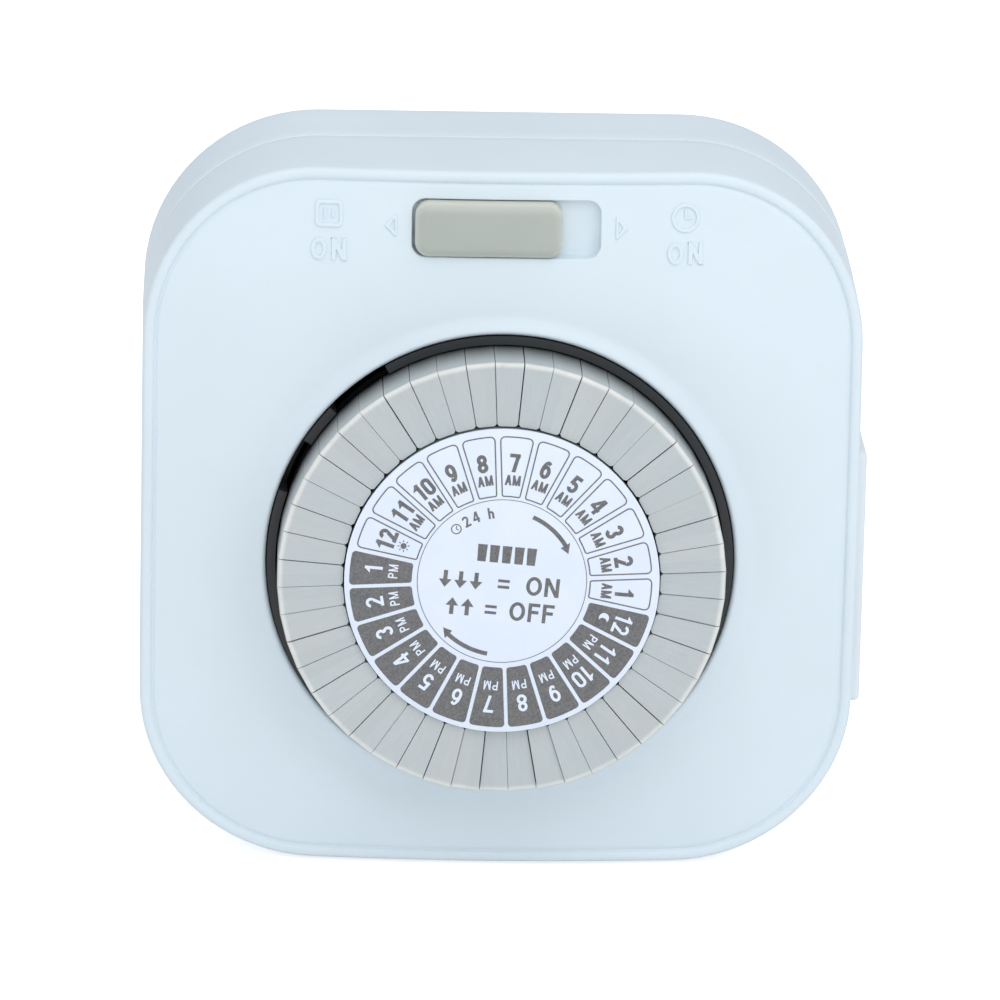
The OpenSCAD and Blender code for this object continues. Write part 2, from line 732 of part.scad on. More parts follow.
module switch_lever() color([0.20, 0.20, 0.22]) difference() {
    union() {
        slab(lever_top_d - lever_t, lever_t) lever_line() {
            translate([-lever_tail, -lever_w / 2]) square([lever_tail + lever_body, lever_w]);
            translate([0, -finger_w / 2]) square([finger_end, finger_w]);
        }
        lever_cross(pivot_r + pivot_rim, lever_w);
    }
    lever_bore(pivot_r + run_fit);
    slab(lever_top_d - leaf_t, leaf_t + over) on_contact() square(leaf_l, center = true);
    slab(lever_top_d - lever_t - over, lever_t + 2 * over) on_contact() circle(shank_r);
}

// Places a shape at the contacts, on the lever's tail.
module on_contact() lever_line() translate([contact_s, 0]) children();

module lever_pin() color([0.70, 0.71, 0.73]) lever_cross(pivot_r, lever_span);

module moving_contact() color([0.80, 0.68, 0.42]) {
    slab(lever_top_d - leaf_t, leaf_t) on_contact() square(leaf_l, center = true);
    slab(lever_top_d - eps, rivet_h) on_contact() circle(rivet_r);
    slab(lever_top_d - lever_t - leaf_t, lever_t) on_contact() circle(shank_r);
}

module fixed_contact() color([0.80, 0.68, 0.42]) {
    slab(fixed_d + rivet_h - eps, fixed_t) {
        on_contact() square([fixed_l, fixed_w], center = true);
        on_contact() translate([-fixed_w / 2, fixed_w / 2 - eps]) square(fixed_arm);
    }
    slab(fixed_d, rivet_h) on_contact() circle(rivet_r);
    slab(wall, fixed_d + rivet_h - wall) lever_line() translate(fixed_foot_at) square(fixed_foot);
}

// ---- plug and outlet ----

module blade(side, w) {
    tip = blade_tip;
    at = [side * blade_gap / 2, 0, 0];
    translate(at) difference() {
        translate([-blade_t / 2, 0, 0]) rotate([90, 0, 90]) linear_extrude(blade_t) polygon([
            [-wall - flange_t / 2, -w / 2], [blade_len - tip, -w / 2],
            [blade_len, -w / 2 + tip / 2], [blade_len, w / 2 - tip / 2],
            [blade_len - tip, w / 2], [-wall - flange_t / 2, w / 2]]);
        translate([0, blade_hole_at, 0]) rotate([0, 90, 0])
            cylinder(r = blade_hole_r, h = blade_t + 2 * over, center = true);
    }
    slab(wall, flange_t) translate([at[0], plug_rise])
        square([flange_l, w + 2 * flange_over], center = true);
    slab(wall + flange_t - eps, terminal_h) translate([at[0], plug_rise])
        square([terminal_t, terminal_w], center = true);
}

module line_blade() color([0.80, 0.78, 0.62]) blade(1, line_blade_w);
module neutral_blade() color([0.80, 0.78, 0.62]) blade(-1, neutral_blade_w);

module outlet_slot(z, w)
    translate([case_half - wall - insert_in - over,
               -outlet_d - w / 2 - outlet_fit, z - blade_t / 2 - outlet_fit])
        cube([insert_in + wall + outlet_proud + 2 * over, w + 2 * outlet_fit, blade_t + 2 * outlet_fit]);

module outlet_insert() color([0.86, 0.90, 0.93]) translate([0, 0, -plug_rise]) difference() {
    union() {
        translate([case_half - wall - insert_in, -outlet_d - outlet_w / 2, outlet_z - outlet_h / 2])
            cube([insert_in + wall + outlet_proud, outlet_w, outlet_h]);
        intersection() {
            translate([case_half - wall - insert_flange_t, insert_flange_in - outlet_d - outlet_w / 2,
                       outlet_z - outlet_h / 2 - insert_flange_w])
                cube([insert_flange_t + eps, outlet_w - 2 * insert_flange_in,
                      outlet_h + 2 * insert_flange_w]);
            translate([0, 0, plug_rise]) slab(0, edge_d) case_outline(wall);
        }
    }
    outlet_slot(outlet_line_z, line_blade_w);
    outlet_slot(outlet_neutral_z, neutral_blade_w);
}

// Spring clip: two leaves that pinch the blade, joined along their edge next to the rear shell.
module outlet_clip(z, w) translate([0, 0, z - plug_rise]) {
    gap = blade_t - clip_pinch;
    mouth_x = case_half - wall - insert_flange_t - clip_gap;
    for (s = [-1, 1])
        translate([clip_in_x, -outlet_d - w / 2, s > 0 ? gap / 2 : -gap / 2 - clip_t])
            cube([mouth_x - clip_in_x, w, clip_t]);
    translate([clip_in_x, w / 2 - outlet_d - clip_t, -gap / 2 - eps])
        cube([mouth_x - clip_in_x, clip_t, gap + 2 * eps]);
}

module outlet_line_clip() color([0.80, 0.68, 0.42]) outlet_clip(outlet_line_z, line_blade_w);
module outlet_neutral_clip() color([0.80, 0.68, 0.42]) outlet_clip(outlet_neutral_z, neutral_blade_w);

// ---- wiring ----

// Places beside a blade's terminal, one wire's radius off it.
beside = terminal_t / 2 + wire_r + 0.05;
tab_in = blade_gap / 2 - beside;
tab_out = blade_gap / 2 + beside;
tab_d = wall + flange_t + 2.4;
tab_top = plug_rise + 2.2;
tab_low = plug_rise - 2.2;
// A place beside the lever's line: s towards the dial, t across, at a depth.
function by_lever(s, t, d) = let (c = cos(lever_angle), n = sin(lever_angle))
    [dial_at[0] + (lever_pivot_r - s) * c + t * n, d, dial_at[1] + (lever_pivot_r - s) * n - t * c];
motor_top = motor_at[1] + motor_r;
// The load wire passes above the works and down beside the outlet.
over_z = case_half - wall - wire_r - 1.7;
down_x = cover_screw_x - rear_boss_r - wire_r - 2.7;
// Height above a clip's middle of a wire that lies on its upper leaf.
on_clip = (blade_t - clip_pinch) / 2 + clip_t + wire_r + 0.1;
// The line wire passes below the top post of the chassis.
under_post = dial_z + plate_post_r - plate_boss_r - wire_r - 0.35;
foot_side = fixed_foot_at[0] + fixed_foot[0] + wire_r + 0.1;

// From the line blade to the contact on the lever.
module line_wire() color([0.12, 0.12, 0.13])
    wire([[tab_out, tab_d, plug_rise - 1.5], [tab_out, tab_d, tab_top],
          [tab_out, tab_d, tab_top + 1.4], [4, 6.2, under_post], [-6, 6, under_post],
          [-13, 6, under_post], by_lever(-2.6, 0, 8), by_lever(-7.5, 0, 11),
          by_lever(contact_s - 1.2, 0, lever_top_d - lever_t - leaf_t - wire_r - 1)]);

// From the fixed contact to the outlet's line clip.
module load_wire() color([0.12, 0.12, 0.13])
    wire([by_lever(foot_side, 7, 4.8), by_lever(foot_side, 7, 6.6), [-13, 8, over_z - 2.8],
          [-9.5, 8, over_z - 0.6], [0, 8.5, over_z], [12, 9, over_z - 0.2],
          [down_x - 1.5, 9, over_z - 4.8], [down_x, 9, over_z - 13.8],
          [down_x, 9, outlet_line_z + 9], [clip_in_x - 0.6, outlet_d, outlet_line_z + on_clip + 2],
          [clip_in_x + 1, outlet_d, outlet_line_z + on_clip],
          [clip_in_x + 3, outlet_d, outlet_line_z + on_clip]]);

// From the neutral blade to the outlet's neutral clip.
module neutral_wire() color([0.90, 0.90, 0.88])
    wire([[-tab_in, tab_d, plug_rise + 1], [-tab_in, tab_d, tab_low],
          [-tab_in, tab_d - 0.2, tab_low - 2.4], [1, 4.8, 4.5],
          [9, 4.6, 1.5], [13.5, 6, -4], [16.5, 8, -9],
          [clip_in_x - 2, outlet_d, outlet_neutral_z + on_clip + 0.4],
          [clip_in_x + 1, outlet_d, outlet_neutral_z + on_clip],
          [clip_in_x + 3, outlet_d, outlet_neutral_z + on_clip]]);

// From both blades to the motor's coil.
module motor_leads() color([0.75, 0.20, 0.16]) {
    wire([[-tab_out, tab_d, plug_rise + 1], [-tab_out, tab_d, tab_low],
          [-tab_out, tab_d + 0.2, tab_low - 2.4], [-10, 8, 4], [-10, 9, motor_top - 0.3]]);
    wire([[tab_in, tab_d, plug_rise + 1], [tab_in, tab_d, tab_low],
          [tab_in, tab_d + 0.3, tab_low - 2.4], [1, 9, 5], [-3, 10, motor_top]]);
}

rear_cover();
front_cover();
cover_screws();
chassis_plate();
dial_collar();
chassis_screws();
motor_can();
motor_coil();
motor_end_plate();
motor_pinion();
idler_gear();
idler_arbor();
dial_wheel();
dial_hub();
dial_label();
dial_screw();
clutch_washer();
slide_knob();
slide_plate();
switch_lever();
lever_pin();
moving_contact();
fixed_contact();
line_blade();
neutral_blade();
outlet_insert();
outlet_line_clip();
outlet_neutral_clip();
line_wire();
load_wire();
neutral_wire();
motor_leads();
for (k = [1:hours])
    hour_pins(k);
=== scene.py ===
"""Looks of a plug-in timer switch: fine shells, pins, printed dial, materials, camera and light.

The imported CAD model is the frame. Sizes are millimetres from the middle of the case: x to the
right, z up, and a depth forward from the wall. case_place() turns them into metres in the frame,
where the origin is the middle of the plug and the front looks along -Y.
"""
import json
import math
import random

import bmesh
import bpy
import numpy as np
from mathutils import Matrix, Vector
from mathutils.geometry import delaunay_2d_cdt


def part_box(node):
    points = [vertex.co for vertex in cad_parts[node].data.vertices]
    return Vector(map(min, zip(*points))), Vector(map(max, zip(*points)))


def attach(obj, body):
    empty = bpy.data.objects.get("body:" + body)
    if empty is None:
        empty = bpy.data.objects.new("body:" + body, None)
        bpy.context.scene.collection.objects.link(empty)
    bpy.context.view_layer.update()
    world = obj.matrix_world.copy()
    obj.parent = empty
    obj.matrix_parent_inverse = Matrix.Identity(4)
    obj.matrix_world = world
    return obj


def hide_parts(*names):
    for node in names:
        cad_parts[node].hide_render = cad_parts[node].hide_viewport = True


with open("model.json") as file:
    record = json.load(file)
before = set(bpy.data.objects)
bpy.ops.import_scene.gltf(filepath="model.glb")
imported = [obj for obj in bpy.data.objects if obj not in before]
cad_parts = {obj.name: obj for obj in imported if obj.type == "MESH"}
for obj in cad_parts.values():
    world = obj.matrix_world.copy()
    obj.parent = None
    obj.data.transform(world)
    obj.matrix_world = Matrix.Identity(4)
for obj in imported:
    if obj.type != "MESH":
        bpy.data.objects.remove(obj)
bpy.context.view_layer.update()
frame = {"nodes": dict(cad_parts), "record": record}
cad_nodes = frame["nodes"]
MM = 0.001

# ---- sizes, repeated from the part's source or read from the frame ----

PLUG_RISE = 14.0


def node_box(name):
    """Lowest and highest corner of a CAD node as (x, depth, z) in case millimetres."""
    low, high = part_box(name)
    return (Vector((low.x, -high.y, low.z)) / MM + Vector((0, 0, PLUG_RISE)),
            Vector((high.x, -low.y, high.z)) / MM + Vector((0, 0, PLUG_RISE)))


case_low, case_high = node_box("rear_cover")
CASE_HALF = (case_high.x - case_low.x) / 2
CORNER_R = 17.3
WALL = 2.0
SEAM_D = 12.0
EDGE_D = 26.0
DOME_R = 175.0
BORDER_H = 0.35
DRAFT = 0.2

label_low, label_high = node_box("dial_label")
DIAL_X = (label_low.x + label_high.x) / 2
DIAL_Z = (label_low.z + label_high.z) / 2
LABEL_R = (label_high.x - label_low.x) / 2
LABEL_D = label_high.y
OPENING_R = 22.9
LIP_D = 28.8
LIP_SLOPE = math.radians(43)
LIP_END_R = 28.0
LIP_ROLL = 0.5
PINS_R = 21.8
PINS_IN_R = 15.4
PINS_D = 34.8
PIN_HEAD = 7.8
PIN_GAP = 0.07
PIN_NOTCH = 0.22
PIN_END = 6.8
PIN_SHADE = 6.0
# Each pin's grain lies this far from the next one's.
PIN_PITCH = 5.0
TAIL_IN_R = 19.3
TAIL_OUT_R = 21.1
TAIL_W = 1.2
HOOK = 0.4
HOURS = 24
PIN_STEP = math.radians(360 / HOURS / 2)
DIAL_TURN = 4.7
TOP_HOUR = 7
TAIL_END_D = 21.7

RECESS_HALF = (9.15, 2.78)
RECESS_R = 1.25
RECESS_FLOOR_T = 1.4
SLOT_HALF = (4.7, 1.5)
knob_low, knob_high = node_box("slide_knob")
KNOB_HALF_TALL = 2.66
KNOB_CORNER = 1.35
KNOB_ROUND = 1.0
KNOB_RISE = 2.9
RECESS_FLOOR = knob_high.y - KNOB_RISE
SLIDER_Z = (knob_low.z + knob_high.z) / 2

outlet_low, outlet_high = node_box("outlet_insert")
OUTLET_Z = -7.8
OUTLET_D = 9.6
OUTLET_H = 25.8
OUTLET_W = 16.0
OUTLET_FIT = 0.3
BLADE_GAP = 12.7
BLADE_T = 1.5
LINE_W = 6.35
NEUTRAL_W = 7.9
# Each blade's side of the middle, and its width.
BLADES = ((1, LINE_W), (-1, NEUTRAL_W))
BLADE_LEN = 16.5
BLADE_HOLE_R = 1.6
BLADE_HOLE_AT = 11.9
BLADE_FIT = 0.1
COVER_SCREWS = [(-29, 12), (29, 12), (-25, -25), (25, -25)]
SCREW_SINK_R = 2.8
SCREW_SINK_D = 9.0
POST_R, POST_BORE_R = 3.4, 1.4
BOSS_R, BOSS_BORE_R = 4.0, 1.65

DOME_C = EDGE_D - math.sqrt(DOME_R ** 2 - CASE_HALF ** 2)


def dome(x, z):
    """Depth of the border's crest on the domed front."""
    return DOME_C + math.sqrt(DOME_R ** 2 - x * x - z * z)


def below(surface, drop):
    """The surface lowered by a drop, as a function of x and z."""
    return lambda x, z: surface(x, z) - drop


face = below(dome, BORDER_H)
inner_face = below(face, WALL)


def case_place(x, d, z):
    """The point in the frame, in metres, of a point in case millimetres."""
    return Vector((x, -d, z - PLUG_RISE)) * MM


def side_place(d, x, z):
    """The same for a piece whose outline lies in the plane of depth and z."""
    return case_place(x, d, z)


# ---- outlines: arrays of points (u, v), counter-clockwise ----


def unit(v):
    return v / np.maximum(np.linalg.norm(v, axis=-1, keepdims=True), 1e-12)


def inset(loop, t):
    """The outline moved inwards by t."""
    before, after = np.roll(loop, 1, 0), np.roll(loop, -1, 0)
    a, b = unit(loop - before), unit(after - loop)
    na = np.stack([a[:, 1], -a[:, 0]], 1)
    nb = np.stack([b[:, 1], -b[:, 0]], 1)
    n = unit(na + nb)
    stretch = 1 / np.maximum((n * na).sum(1), 0.3)
    return loop - n * stretch[:, None] * t


def fillet(corners, radius, steps=5, guard=0.0):
    """Polygon with rounded corners, each with its radius.

    Guard adds a point this far past each arc, which keeps flat faces flat."""
    corners = [np.array(c, float) for c in corners]
    radii = [radius] * len(corners) if np.isscalar(radius) else radius
    out = []
    for i, (p, r) in enumerate(zip(corners, radii)):
        u, v = unit(corners[i - 1] - p), unit(corners[(i + 1) % len(corners)] - p)
        half = math.acos(max(-1, min(1, float(u @ v)))) / 2
        centre = p + unit(u + v) * r / math.sin(half)
        start, end = p + u * r / math.tan(half) - centre, p + v * r / math.tan(half) - centre
        a = math.atan2(start[1], start[0])
        turn = (math.atan2(end[1], end[0]) - a + math.pi) % (2 * math.pi) - math.pi
        if guard:
            out.append(centre + start + u * guard)
        for k in range(steps + 1):
            angle = a + turn * k / steps
            out.append(centre + r * np.array([math.cos(angle), math.sin(angle)]))
        if guard:
            out.append(centre + end + v * guard)
    return np.array(out)


def rounded_rect(u, v, half_u, half_v, r, arc=6, side=1):
    """Rounded rectangle round (u, v), with arc steps at each corner and side steps between them."""
    arcs = []
    for way_u, way_v, first in ((1, -1, -90), (1, 1, 0), (-1, 1, 90), (-1, -1, 180)):
        centre = (u + way_u * (half_u - r), v + way_v * (half_v - r))
        angles = [math.radians(first + 90 * k / arc) for k in range(arc + 1)]
        arcs.append([(centre[0] + r * math.cos(a), centre[1] + r * math.sin(a)) for a in angles])
    out = []
    for one, other in zip(arcs, arcs[1:] + arcs[:1]):
        start, end = np.array(one[-1]), np.array(other[0])
        out += one + [tuple(start + (end - start) * k / side) for k in range(1, side)]
    return np.array(out)


def circle(u, v, r, steps=48):
    angles = [2 * math.pi * k / steps for k in range(steps)]
    return np.array([(u + r * math.cos(a), v + r * math.sin(a)) for a in angles])


def quarter(steps):
    """A quarter round as pairs: 1 - cosine, which grows, and 1 - sine, which falls to 0."""
    angles = [math.pi / 2 * k / steps for k in range(steps + 1)]
    return [(1 - math.cos(a), 1 - math.sin(a)) for a in angles]


def inside(points, loop):
    """Which points lie inside a loop."""
    x, y = points[:, 0][:, None], points[:, 1][:, None]
    x0, y0 = loop[:, 0], loop[:, 1]
    x1, y1 = np.roll(x0, -1), np.roll(y0, -1)
    crosses = (y0 > y) != (y1 > y)
    where = (x1 - x0) * (y - y0) / np.where(y1 == y0, 1e-12, y1 - y0) + x0
    return (crosses & (x < where)).sum(1) % 2 == 1


def between(points, loops):
    """Which points lie inside the first loop and outside the others."""
    keep = inside(points, loops[0])
    for loop in loops[1:]:
        keep &= ~inside(points, loop)
    return keep


def grid_points(low, high, spacing):
    """Points of a grid of even triangles that covers a box."""
    rows = []
    for k, y in enumerate(np.arange(low[1], high[1], spacing * 0.866)):
        x = np.arange(low[0] + (k % 2) * spacing / 2, high[0], spacing)
        rows.append(np.stack([x, np.full(len(x), y)], 1))
    return np.concatenate(rows)


# ---- mesh building ----

# Edges that turn by more degrees than this stay sharp.
SHARP = 32


class Build:
    """Collects the loops and faces of one piece, as (u, w, v): a plane u, v and a height w."""

    def __init__(self, place=case_place):
        self.place = place
        self.points = []
        self.faces = []

    def loop(self, outline, height):
        """Adds an outline at a height, a number or a function of (u, v)."""
        start = len(self.points)
        for i, (u, v) in enumerate(outline):
            w = height(u, v) if callable(height) else height if np.ndim(height) == 0 else height[i]
            self.points.append((u, w, v))
        return list(range(start, len(self.points)))

    def add(self, points, faces, place):
        """Adds points, each moved by place, and the faces between them."""
        start = len(self.points)
        self.points += [place(*p) for p in points]
        self.faces += [tuple(start + i for i in f) for f in faces]

    def rim(self, t, height):
        """Adds the case's outline, this far inside its side walls."""
        return self.loop(rounded_rect(0, 0, CASE_HALF - t, CASE_HALF - t, CORNER_R - t, 20, 20), height)

    def strips(self, *loops):
        """Joins each loop to the next with faces; gives the first and the last loop."""
        for a, b in zip(loops, loops[1:]):
            n = len(a)
            self.faces += [(a[i], a[(i + 1) % n], b[(i + 1) % n], b[i]) for i in range(n)]
        return loops[0], loops[-1]

    def flat(self, loop):
        return np.array([(self.points[i][0], self.points[i][2]) for i in loop])

    def patch(self, outer, holes=(), height=None, spacing=None):
        """Fills between loops; new points lie on height(u, v), spacing apart."""
        loops = [outer, *holes]
        outlines = [self.flat(loop) for loop in loops]
        index = [i for loop in loops for i in loop]
        coords = np.concatenate(outlines)
        edges, start = [], 0
        for outline in outlines:
            n = len(outline)
            edges += [(start + i, start + (i + 1) % n) for i in range(n)]
            start += n
        if spacing:
            grid = grid_points(outlines[0].min(0), outlines[0].max(0), spacing)
            grid = grid[between(grid, outlines)]
            near = np.min(np.linalg.norm(grid[:, None] - coords[None], axis=2), axis=1)
            grid = grid[near > 0.55 * spacing]
            index += self.loop(grid, height)
            coords = np.concatenate([coords, grid])
        found, sources = delaunay_2d_cdt([Vector(c) for c in coords], edges, [], 0, 1e-7)[2:4]
        triangles = [tuple(index[sources[i][0]] for i in f) for f in found if all(sources[i] for i in f)]
        centres = np.array([self.flat(f).mean(0) for f in triangles])
        self.faces += [f for f, k in zip(triangles, between(centres, outlines)) if k]

    def rounding(self, outline, height, r, up, steps=4):
        """Loops that round an edge, from the side to the flat face at the height."""
        loops = [self.loop(inset(outline, r * near), height - up * r * far) for near, far in quarter(steps)]
        # A last loop, a little further in, keeps the flat face flat.
        if abs(r) > 0.05:
            loops.append(self.loop(inset(outline, r * 1.08), height))
        return loops

    def solid(self, outline, low, high, r_low=0.1, r_high=0.1, holes=(), steps=4):
        """Prism with rounded edges and holes."""
        ends = []
        low, high = np.asarray(low, float), np.asarray(high, float)
        for side, loop in [(1, outline)] + [(-1, hole) for hole in holes]:
            bottom = self.rounding(loop, low, r_low * side, -side, steps)
            top = self.rounding(loop, high, r_high * side, side, steps)
            ends.append(self.strips(*bottom[::-1], *top))
        for k in (0, 1):
            if holes or low.ndim:
                self.patch(ends[0][k], [e[k] for e in ends[1:]])
            else:
                self.faces.append(tuple(ends[0][k]))

    def relief(self, points, triangles, draft, low, high):
        """Raises flat triangles from one place to another, with walls that lean by draft."""
        edges = {(t[i], t[(i + 1) % 3]) for t in triangles for i in range(3)}
        rim = [(a, b) for a, b in edges if (b, a) not in edges]
        points = [Vector(p) for p in points]
        lean = [Vector((0, 0)) for _ in points]
        for a, b in rim:
            along = (points[b] - points[a]).normalized()
            for i in (a, b):
                lean[i] += Vector((along.y, -along.x))
        top = [p - n * draft / max(n.length_squared / 2, 0.5) for p, n in zip(points, lean)]
        n, start = len(points), len(self.points)
        self.add(points, [t[::-1] for t in triangles], low)
        self.add(top, triangles, high)
        self.faces += [(start + a, start + b, start + n + b, start + n + a) for a, b in rim]

    def piece(self, name, body, material, slot, replaces=(), sharp=SHARP, grain=None, closed=True):
        """Makes the object, with its body and CAD nodes; slot is not used; grain holds a UV for each point.
        """
        mesh = bpy.data.meshes.new(name)
        mesh.from_pydata([self.place(*p) for p in self.points], [], self.faces)
        if closed:
            bm = bmesh.new()
            bm.from_mesh(mesh)
            bmesh.ops.recalc_face_normals(bm, faces=bm.faces)
            bm.to_mesh(mesh)
            bm.free()
        mesh.shade_smooth()
        mesh.set_sharp_from_angle(angle=math.radians(sharp))
        if grain:
            layer = mesh.uv_layers.new(name="grain")
            for corner in mesh.loops:
                layer.data[corner.index].uv = grain[corner.vertex_index]
        mesh.materials.append(material)
        obj = bpy.data.objects.new(name, mesh)
        bpy.context.scene.collection.objects.link(obj)
        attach(obj, body)
        if replaces:
            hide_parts(*replaces)
        return obj


# ---- plain stroke lettering: each sign is a list of strokes in a box one unit high ----


def bar(x0, y0, x1, y1):
    return [(x0, y0), (x1, y0), (x1, y1), (x0, y1)]


def slant(x0, y0, x1, y1, stroke):
    """Sloping stroke from the lower to the upper end, cut level at both ends."""
    k = stroke / 2 * math.hypot(x1 - x0, y1 - y0) / abs(y1 - y0)
    return [(x0 - k, y0), (x0 + k, y0), (x1 + k, y1), (x1 - k, y1)]


def arc(x, y, rx, ry, start, end, stroke):
    """Curved stroke round (x, y), from one angle to a larger one, in degrees."""
    steps = max(3, int((end - start) / 15))
    angles = [math.radians(start + (end - start) * k / steps) for k in range(steps + 1)]
    h = stroke / 2
    outer = [(x + (rx + h) * math.cos(a), y + (ry + h) * math.sin(a)) for a in angles]
    inner = [(x + (rx - h) * math.cos(a), y + (ry - h) * math.sin(a)) for a in reversed(angles)]
    return outer + inner


def ring(x, y, rx, ry, stroke):
    return [arc(x, y, rx, ry, 0, 180, stroke), arc(x, y, rx, ry, 180, 360, stroke)]


def signs(s):
    """Strokes and width of each sign, for the stroke width s."""
    h = s / 2
    w = 0.56
    m = w / 2
    r = m - h
    x = w * 0.60
    high, high_r = 0.755 - h / 2, 0.245 - h / 2
    low, low_r = 0.265 + h / 4, 0.265 - h * 0.75
    stem = bar(0, 0, s, 1)
    six = ring(m, h + 0.27, r, 0.27, s) + [arc(m + 0.02, h + 0.27, r + 0.02, 0.73 - s, 55, 180, s)]
    return {
        "0": ([arc(m, m, r, r, 180, 360, s), arc(m, 1 - m, r, r, 0, 180, s), bar(0, m, s, 1 - m),
               bar(w - s, m, w, 1 - m)], w),
        "1": ([bar(0.24, 0, 0.24 + s, 1), slant(0.02 + h, 0.70, 0.24 + h, 0.93, s * 0.8)], 0.24 + s),
        "2": ([arc(m, 1 - m, r, r, -35, 172, s), slant(h * 1.5, h, m + r * 0.80, 1 - h - r * 1.60, s),
               bar(0, 0, w, s)], w),
        "3": ([arc(m, high, r * 0.94, high_r, -90, 165, s), arc(m, low, r, low_r, -165, 90, s)], w),
        "4": ([bar(x, 0, x + s, 1), slant(h, 0.24 + h, x + h * 0.6, 0.98, s * 0.85),
               bar(0, 0.22, w + 0.03, 0.22 + s * 0.9)], w + 0.03),
        "5": ([bar(0.10, 1 - s, w - 0.03, 1), slant(0.02 + h, 0.46, 0.08 + h, 1, s),
               arc(m, 0.325, r, 0.325 - h, -160, 142, s)], w),
        "6": (six, w),
        "7": ([bar(0, 1 - s, w, 1), slant(0.16 + h, 0, w - h * 1.15, 1 - h, s)], w),
        "8": (ring(m, high, r * 0.92, high_r, s) + ring(m, low, r, low_r, s), w),
        "9": ([[(w - u, 1 - v) for u, v in stroke] for stroke in six], w),
        "A": ([slant(h, 0, 0.36, 1, s), slant(0.72 - h, 0, 0.36, 1, s),
               bar(0.16, 0.24, 0.56, 0.24 + s * 0.8)], 0.72),
        "M": ([stem, bar(0.84 - s, 0, 0.84, 1), slant(0.42, 0, h, 1, s * 0.9),
               slant(0.42, 0, 0.84 - h, 1, s * 0.9)], 0.84),
        "N": ([stem, bar(0.70 - s, 0, 0.70, 1), slant(0.70 - h, 0, h, 1, s)], 0.70),
        "P": ([stem, bar(s, 1 - s, 0.36, 1), bar(s, 0.42, 0.36, 0.42 + s),
               arc(0.36, 0.71, 0.29 - h, 0.29 - h, -90, 90, s)], 0.65),
        "O": (ring(0.38, 0.5, 0.38 - h, 0.5 - h, s), 0.76),
        "F": ([stem, bar(s, 1 - s, 0.56, 1), bar(s, 0.44, 0.50, 0.44 + s)], 0.56),
        "h": ([stem, bar(0.50 - s, 0, 0.50, 0.45), arc(0.25, 0.45, 0.25 - h, 0.24 - h, 0, 180, s)], 0.50),
        "=": ([bar(0, 0.24, 0.56, 0.24 + s * 0.85), bar(0, 0.56, 0.56, 0.56 + s * 0.85)], 0.56),
    }


def outline_union(outlines):
    """Points and triangles that cover overlapping outlines once."""
    coords, faces = [], []
    for outline in outlines:
        faces.append(list(range(len(coords), len(coords) + len(outline))))
        coords += [Vector(p) for p in outline]
    points, _, found = delaunay_2d_cdt(coords, [], faces, 1, 1e-6)[:3]
    middles = np.array([sum((points[i] for i in f), Vector((0, 0))) / len(f) for f in found])
    keep = np.zeros(len(found), bool)
    for outline in outlines:
        keep |= inside(middles, np.array(outline))
    return [tuple(p) for p in points], [tuple(f) for f, k in zip(found, keep) if k]


def counter_clockwise(points):
    area = sum(a[0] * b[1] - a[1] * b[0] for a, b in zip(points, points[1:] + points[:1]))
    return points if area > 0 else points[::-1]


def lettering(text, height, stroke, space=0.13, squeeze=1.0):
    """Points and triangles of a line of text, centred; sizes in millimetres."""
    known = signs(stroke / height)
    outlines, pen = [], 0.0
    for letter in text:
        strokes, width = known[letter]
        outlines += [counter_clockwise([(pen + x, y) for x, y in points]) for points in strokes]
        pen += width + space
    pen -= space
    points, triangles = outline_union(outlines)
    return [((x - pen / 2) * height * squeeze, (y - 0.5) * height) for x, y in points], triangles


# ---- materials ----


def shader(name):
    material = bpy.data.materials.new(name)
    material.use_nodes = True
    tree = material.node_tree
    return material, tree, tree.nodes["Principled BSDF"]


def add_node(tree, kind, inputs=None, **settings):
    n = tree.nodes.new(kind)
    for key, value in settings.items():
        setattr(n, key, value)
    for key, value in (inputs or {}).items():
        if isinstance(value, bpy.types.NodeSocket):
            tree.links.new(value, n.inputs[key])
        else:
            n.inputs[key].default_value = value
    return n


def object_coords(tree):
    return add_node(tree, "ShaderNodeTexCoord").outputs["Object"]


def axis_of(tree, axis, coords=None):
    """One axis of coords, or of the place in the piece's own metres."""
    coords = coords or object_coords(tree)
    return add_node(tree, "ShaderNodeSeparateXYZ", {"Vector": coords}).outputs[axis]


def noise(tree, scale, detail=3.0, coords=None, rough=0.55):
    """Noise in the piece's own metres: scale is in cells per metre."""
    coords = coords or object_coords(tree)
    inputs = {"Vector": coords, "Scale": scale, "Detail": detail, "Roughness": rough}
    return add_node(tree, "ShaderNodeTexNoise", inputs).outputs["Fac"]


def ramp(tree, fac, low, high, low_at=0.0, high_at=1.0):
    """A value that goes from low to high as fac goes from low_at to high_at."""
    inputs = {"Value": fac, "From Min": low_at, "From Max": high_at, "To Min": low, "To Max": high}
    return add_node(tree, "ShaderNodeMapRange", inputs).outputs["Result"]


def blend_color(tree, fac, a, b):
    """Colour that goes from a to b as fac goes from 0 to 1."""
    ends = [c if isinstance(c, bpy.types.NodeSocket) else (*c, 1) for c in (a, b)]
    return add_node(tree, "ShaderNodeMix", {0: fac, 6: ends[0], 7: ends[1]}, data_type="RGBA").outputs[2]


def patches(tree, fac, low_at, high_at, a, b, most=1.0):
    """Colour a, with b in it up to the share most as fac goes from low_at to high_at."""
    return blend_color(tree, ramp(tree, fac, 0, most, low_at, high_at), a, b)


def bump(tree, bsdf, height, strength, distance):
    """Distance is the depth of the relief in metres."""
    n = add_node(tree, "ShaderNodeBump", {"Height": height, "Strength": strength, "Distance": distance})
    tree.links.new(n.outputs["Normal"], bsdf.inputs["Normal"])


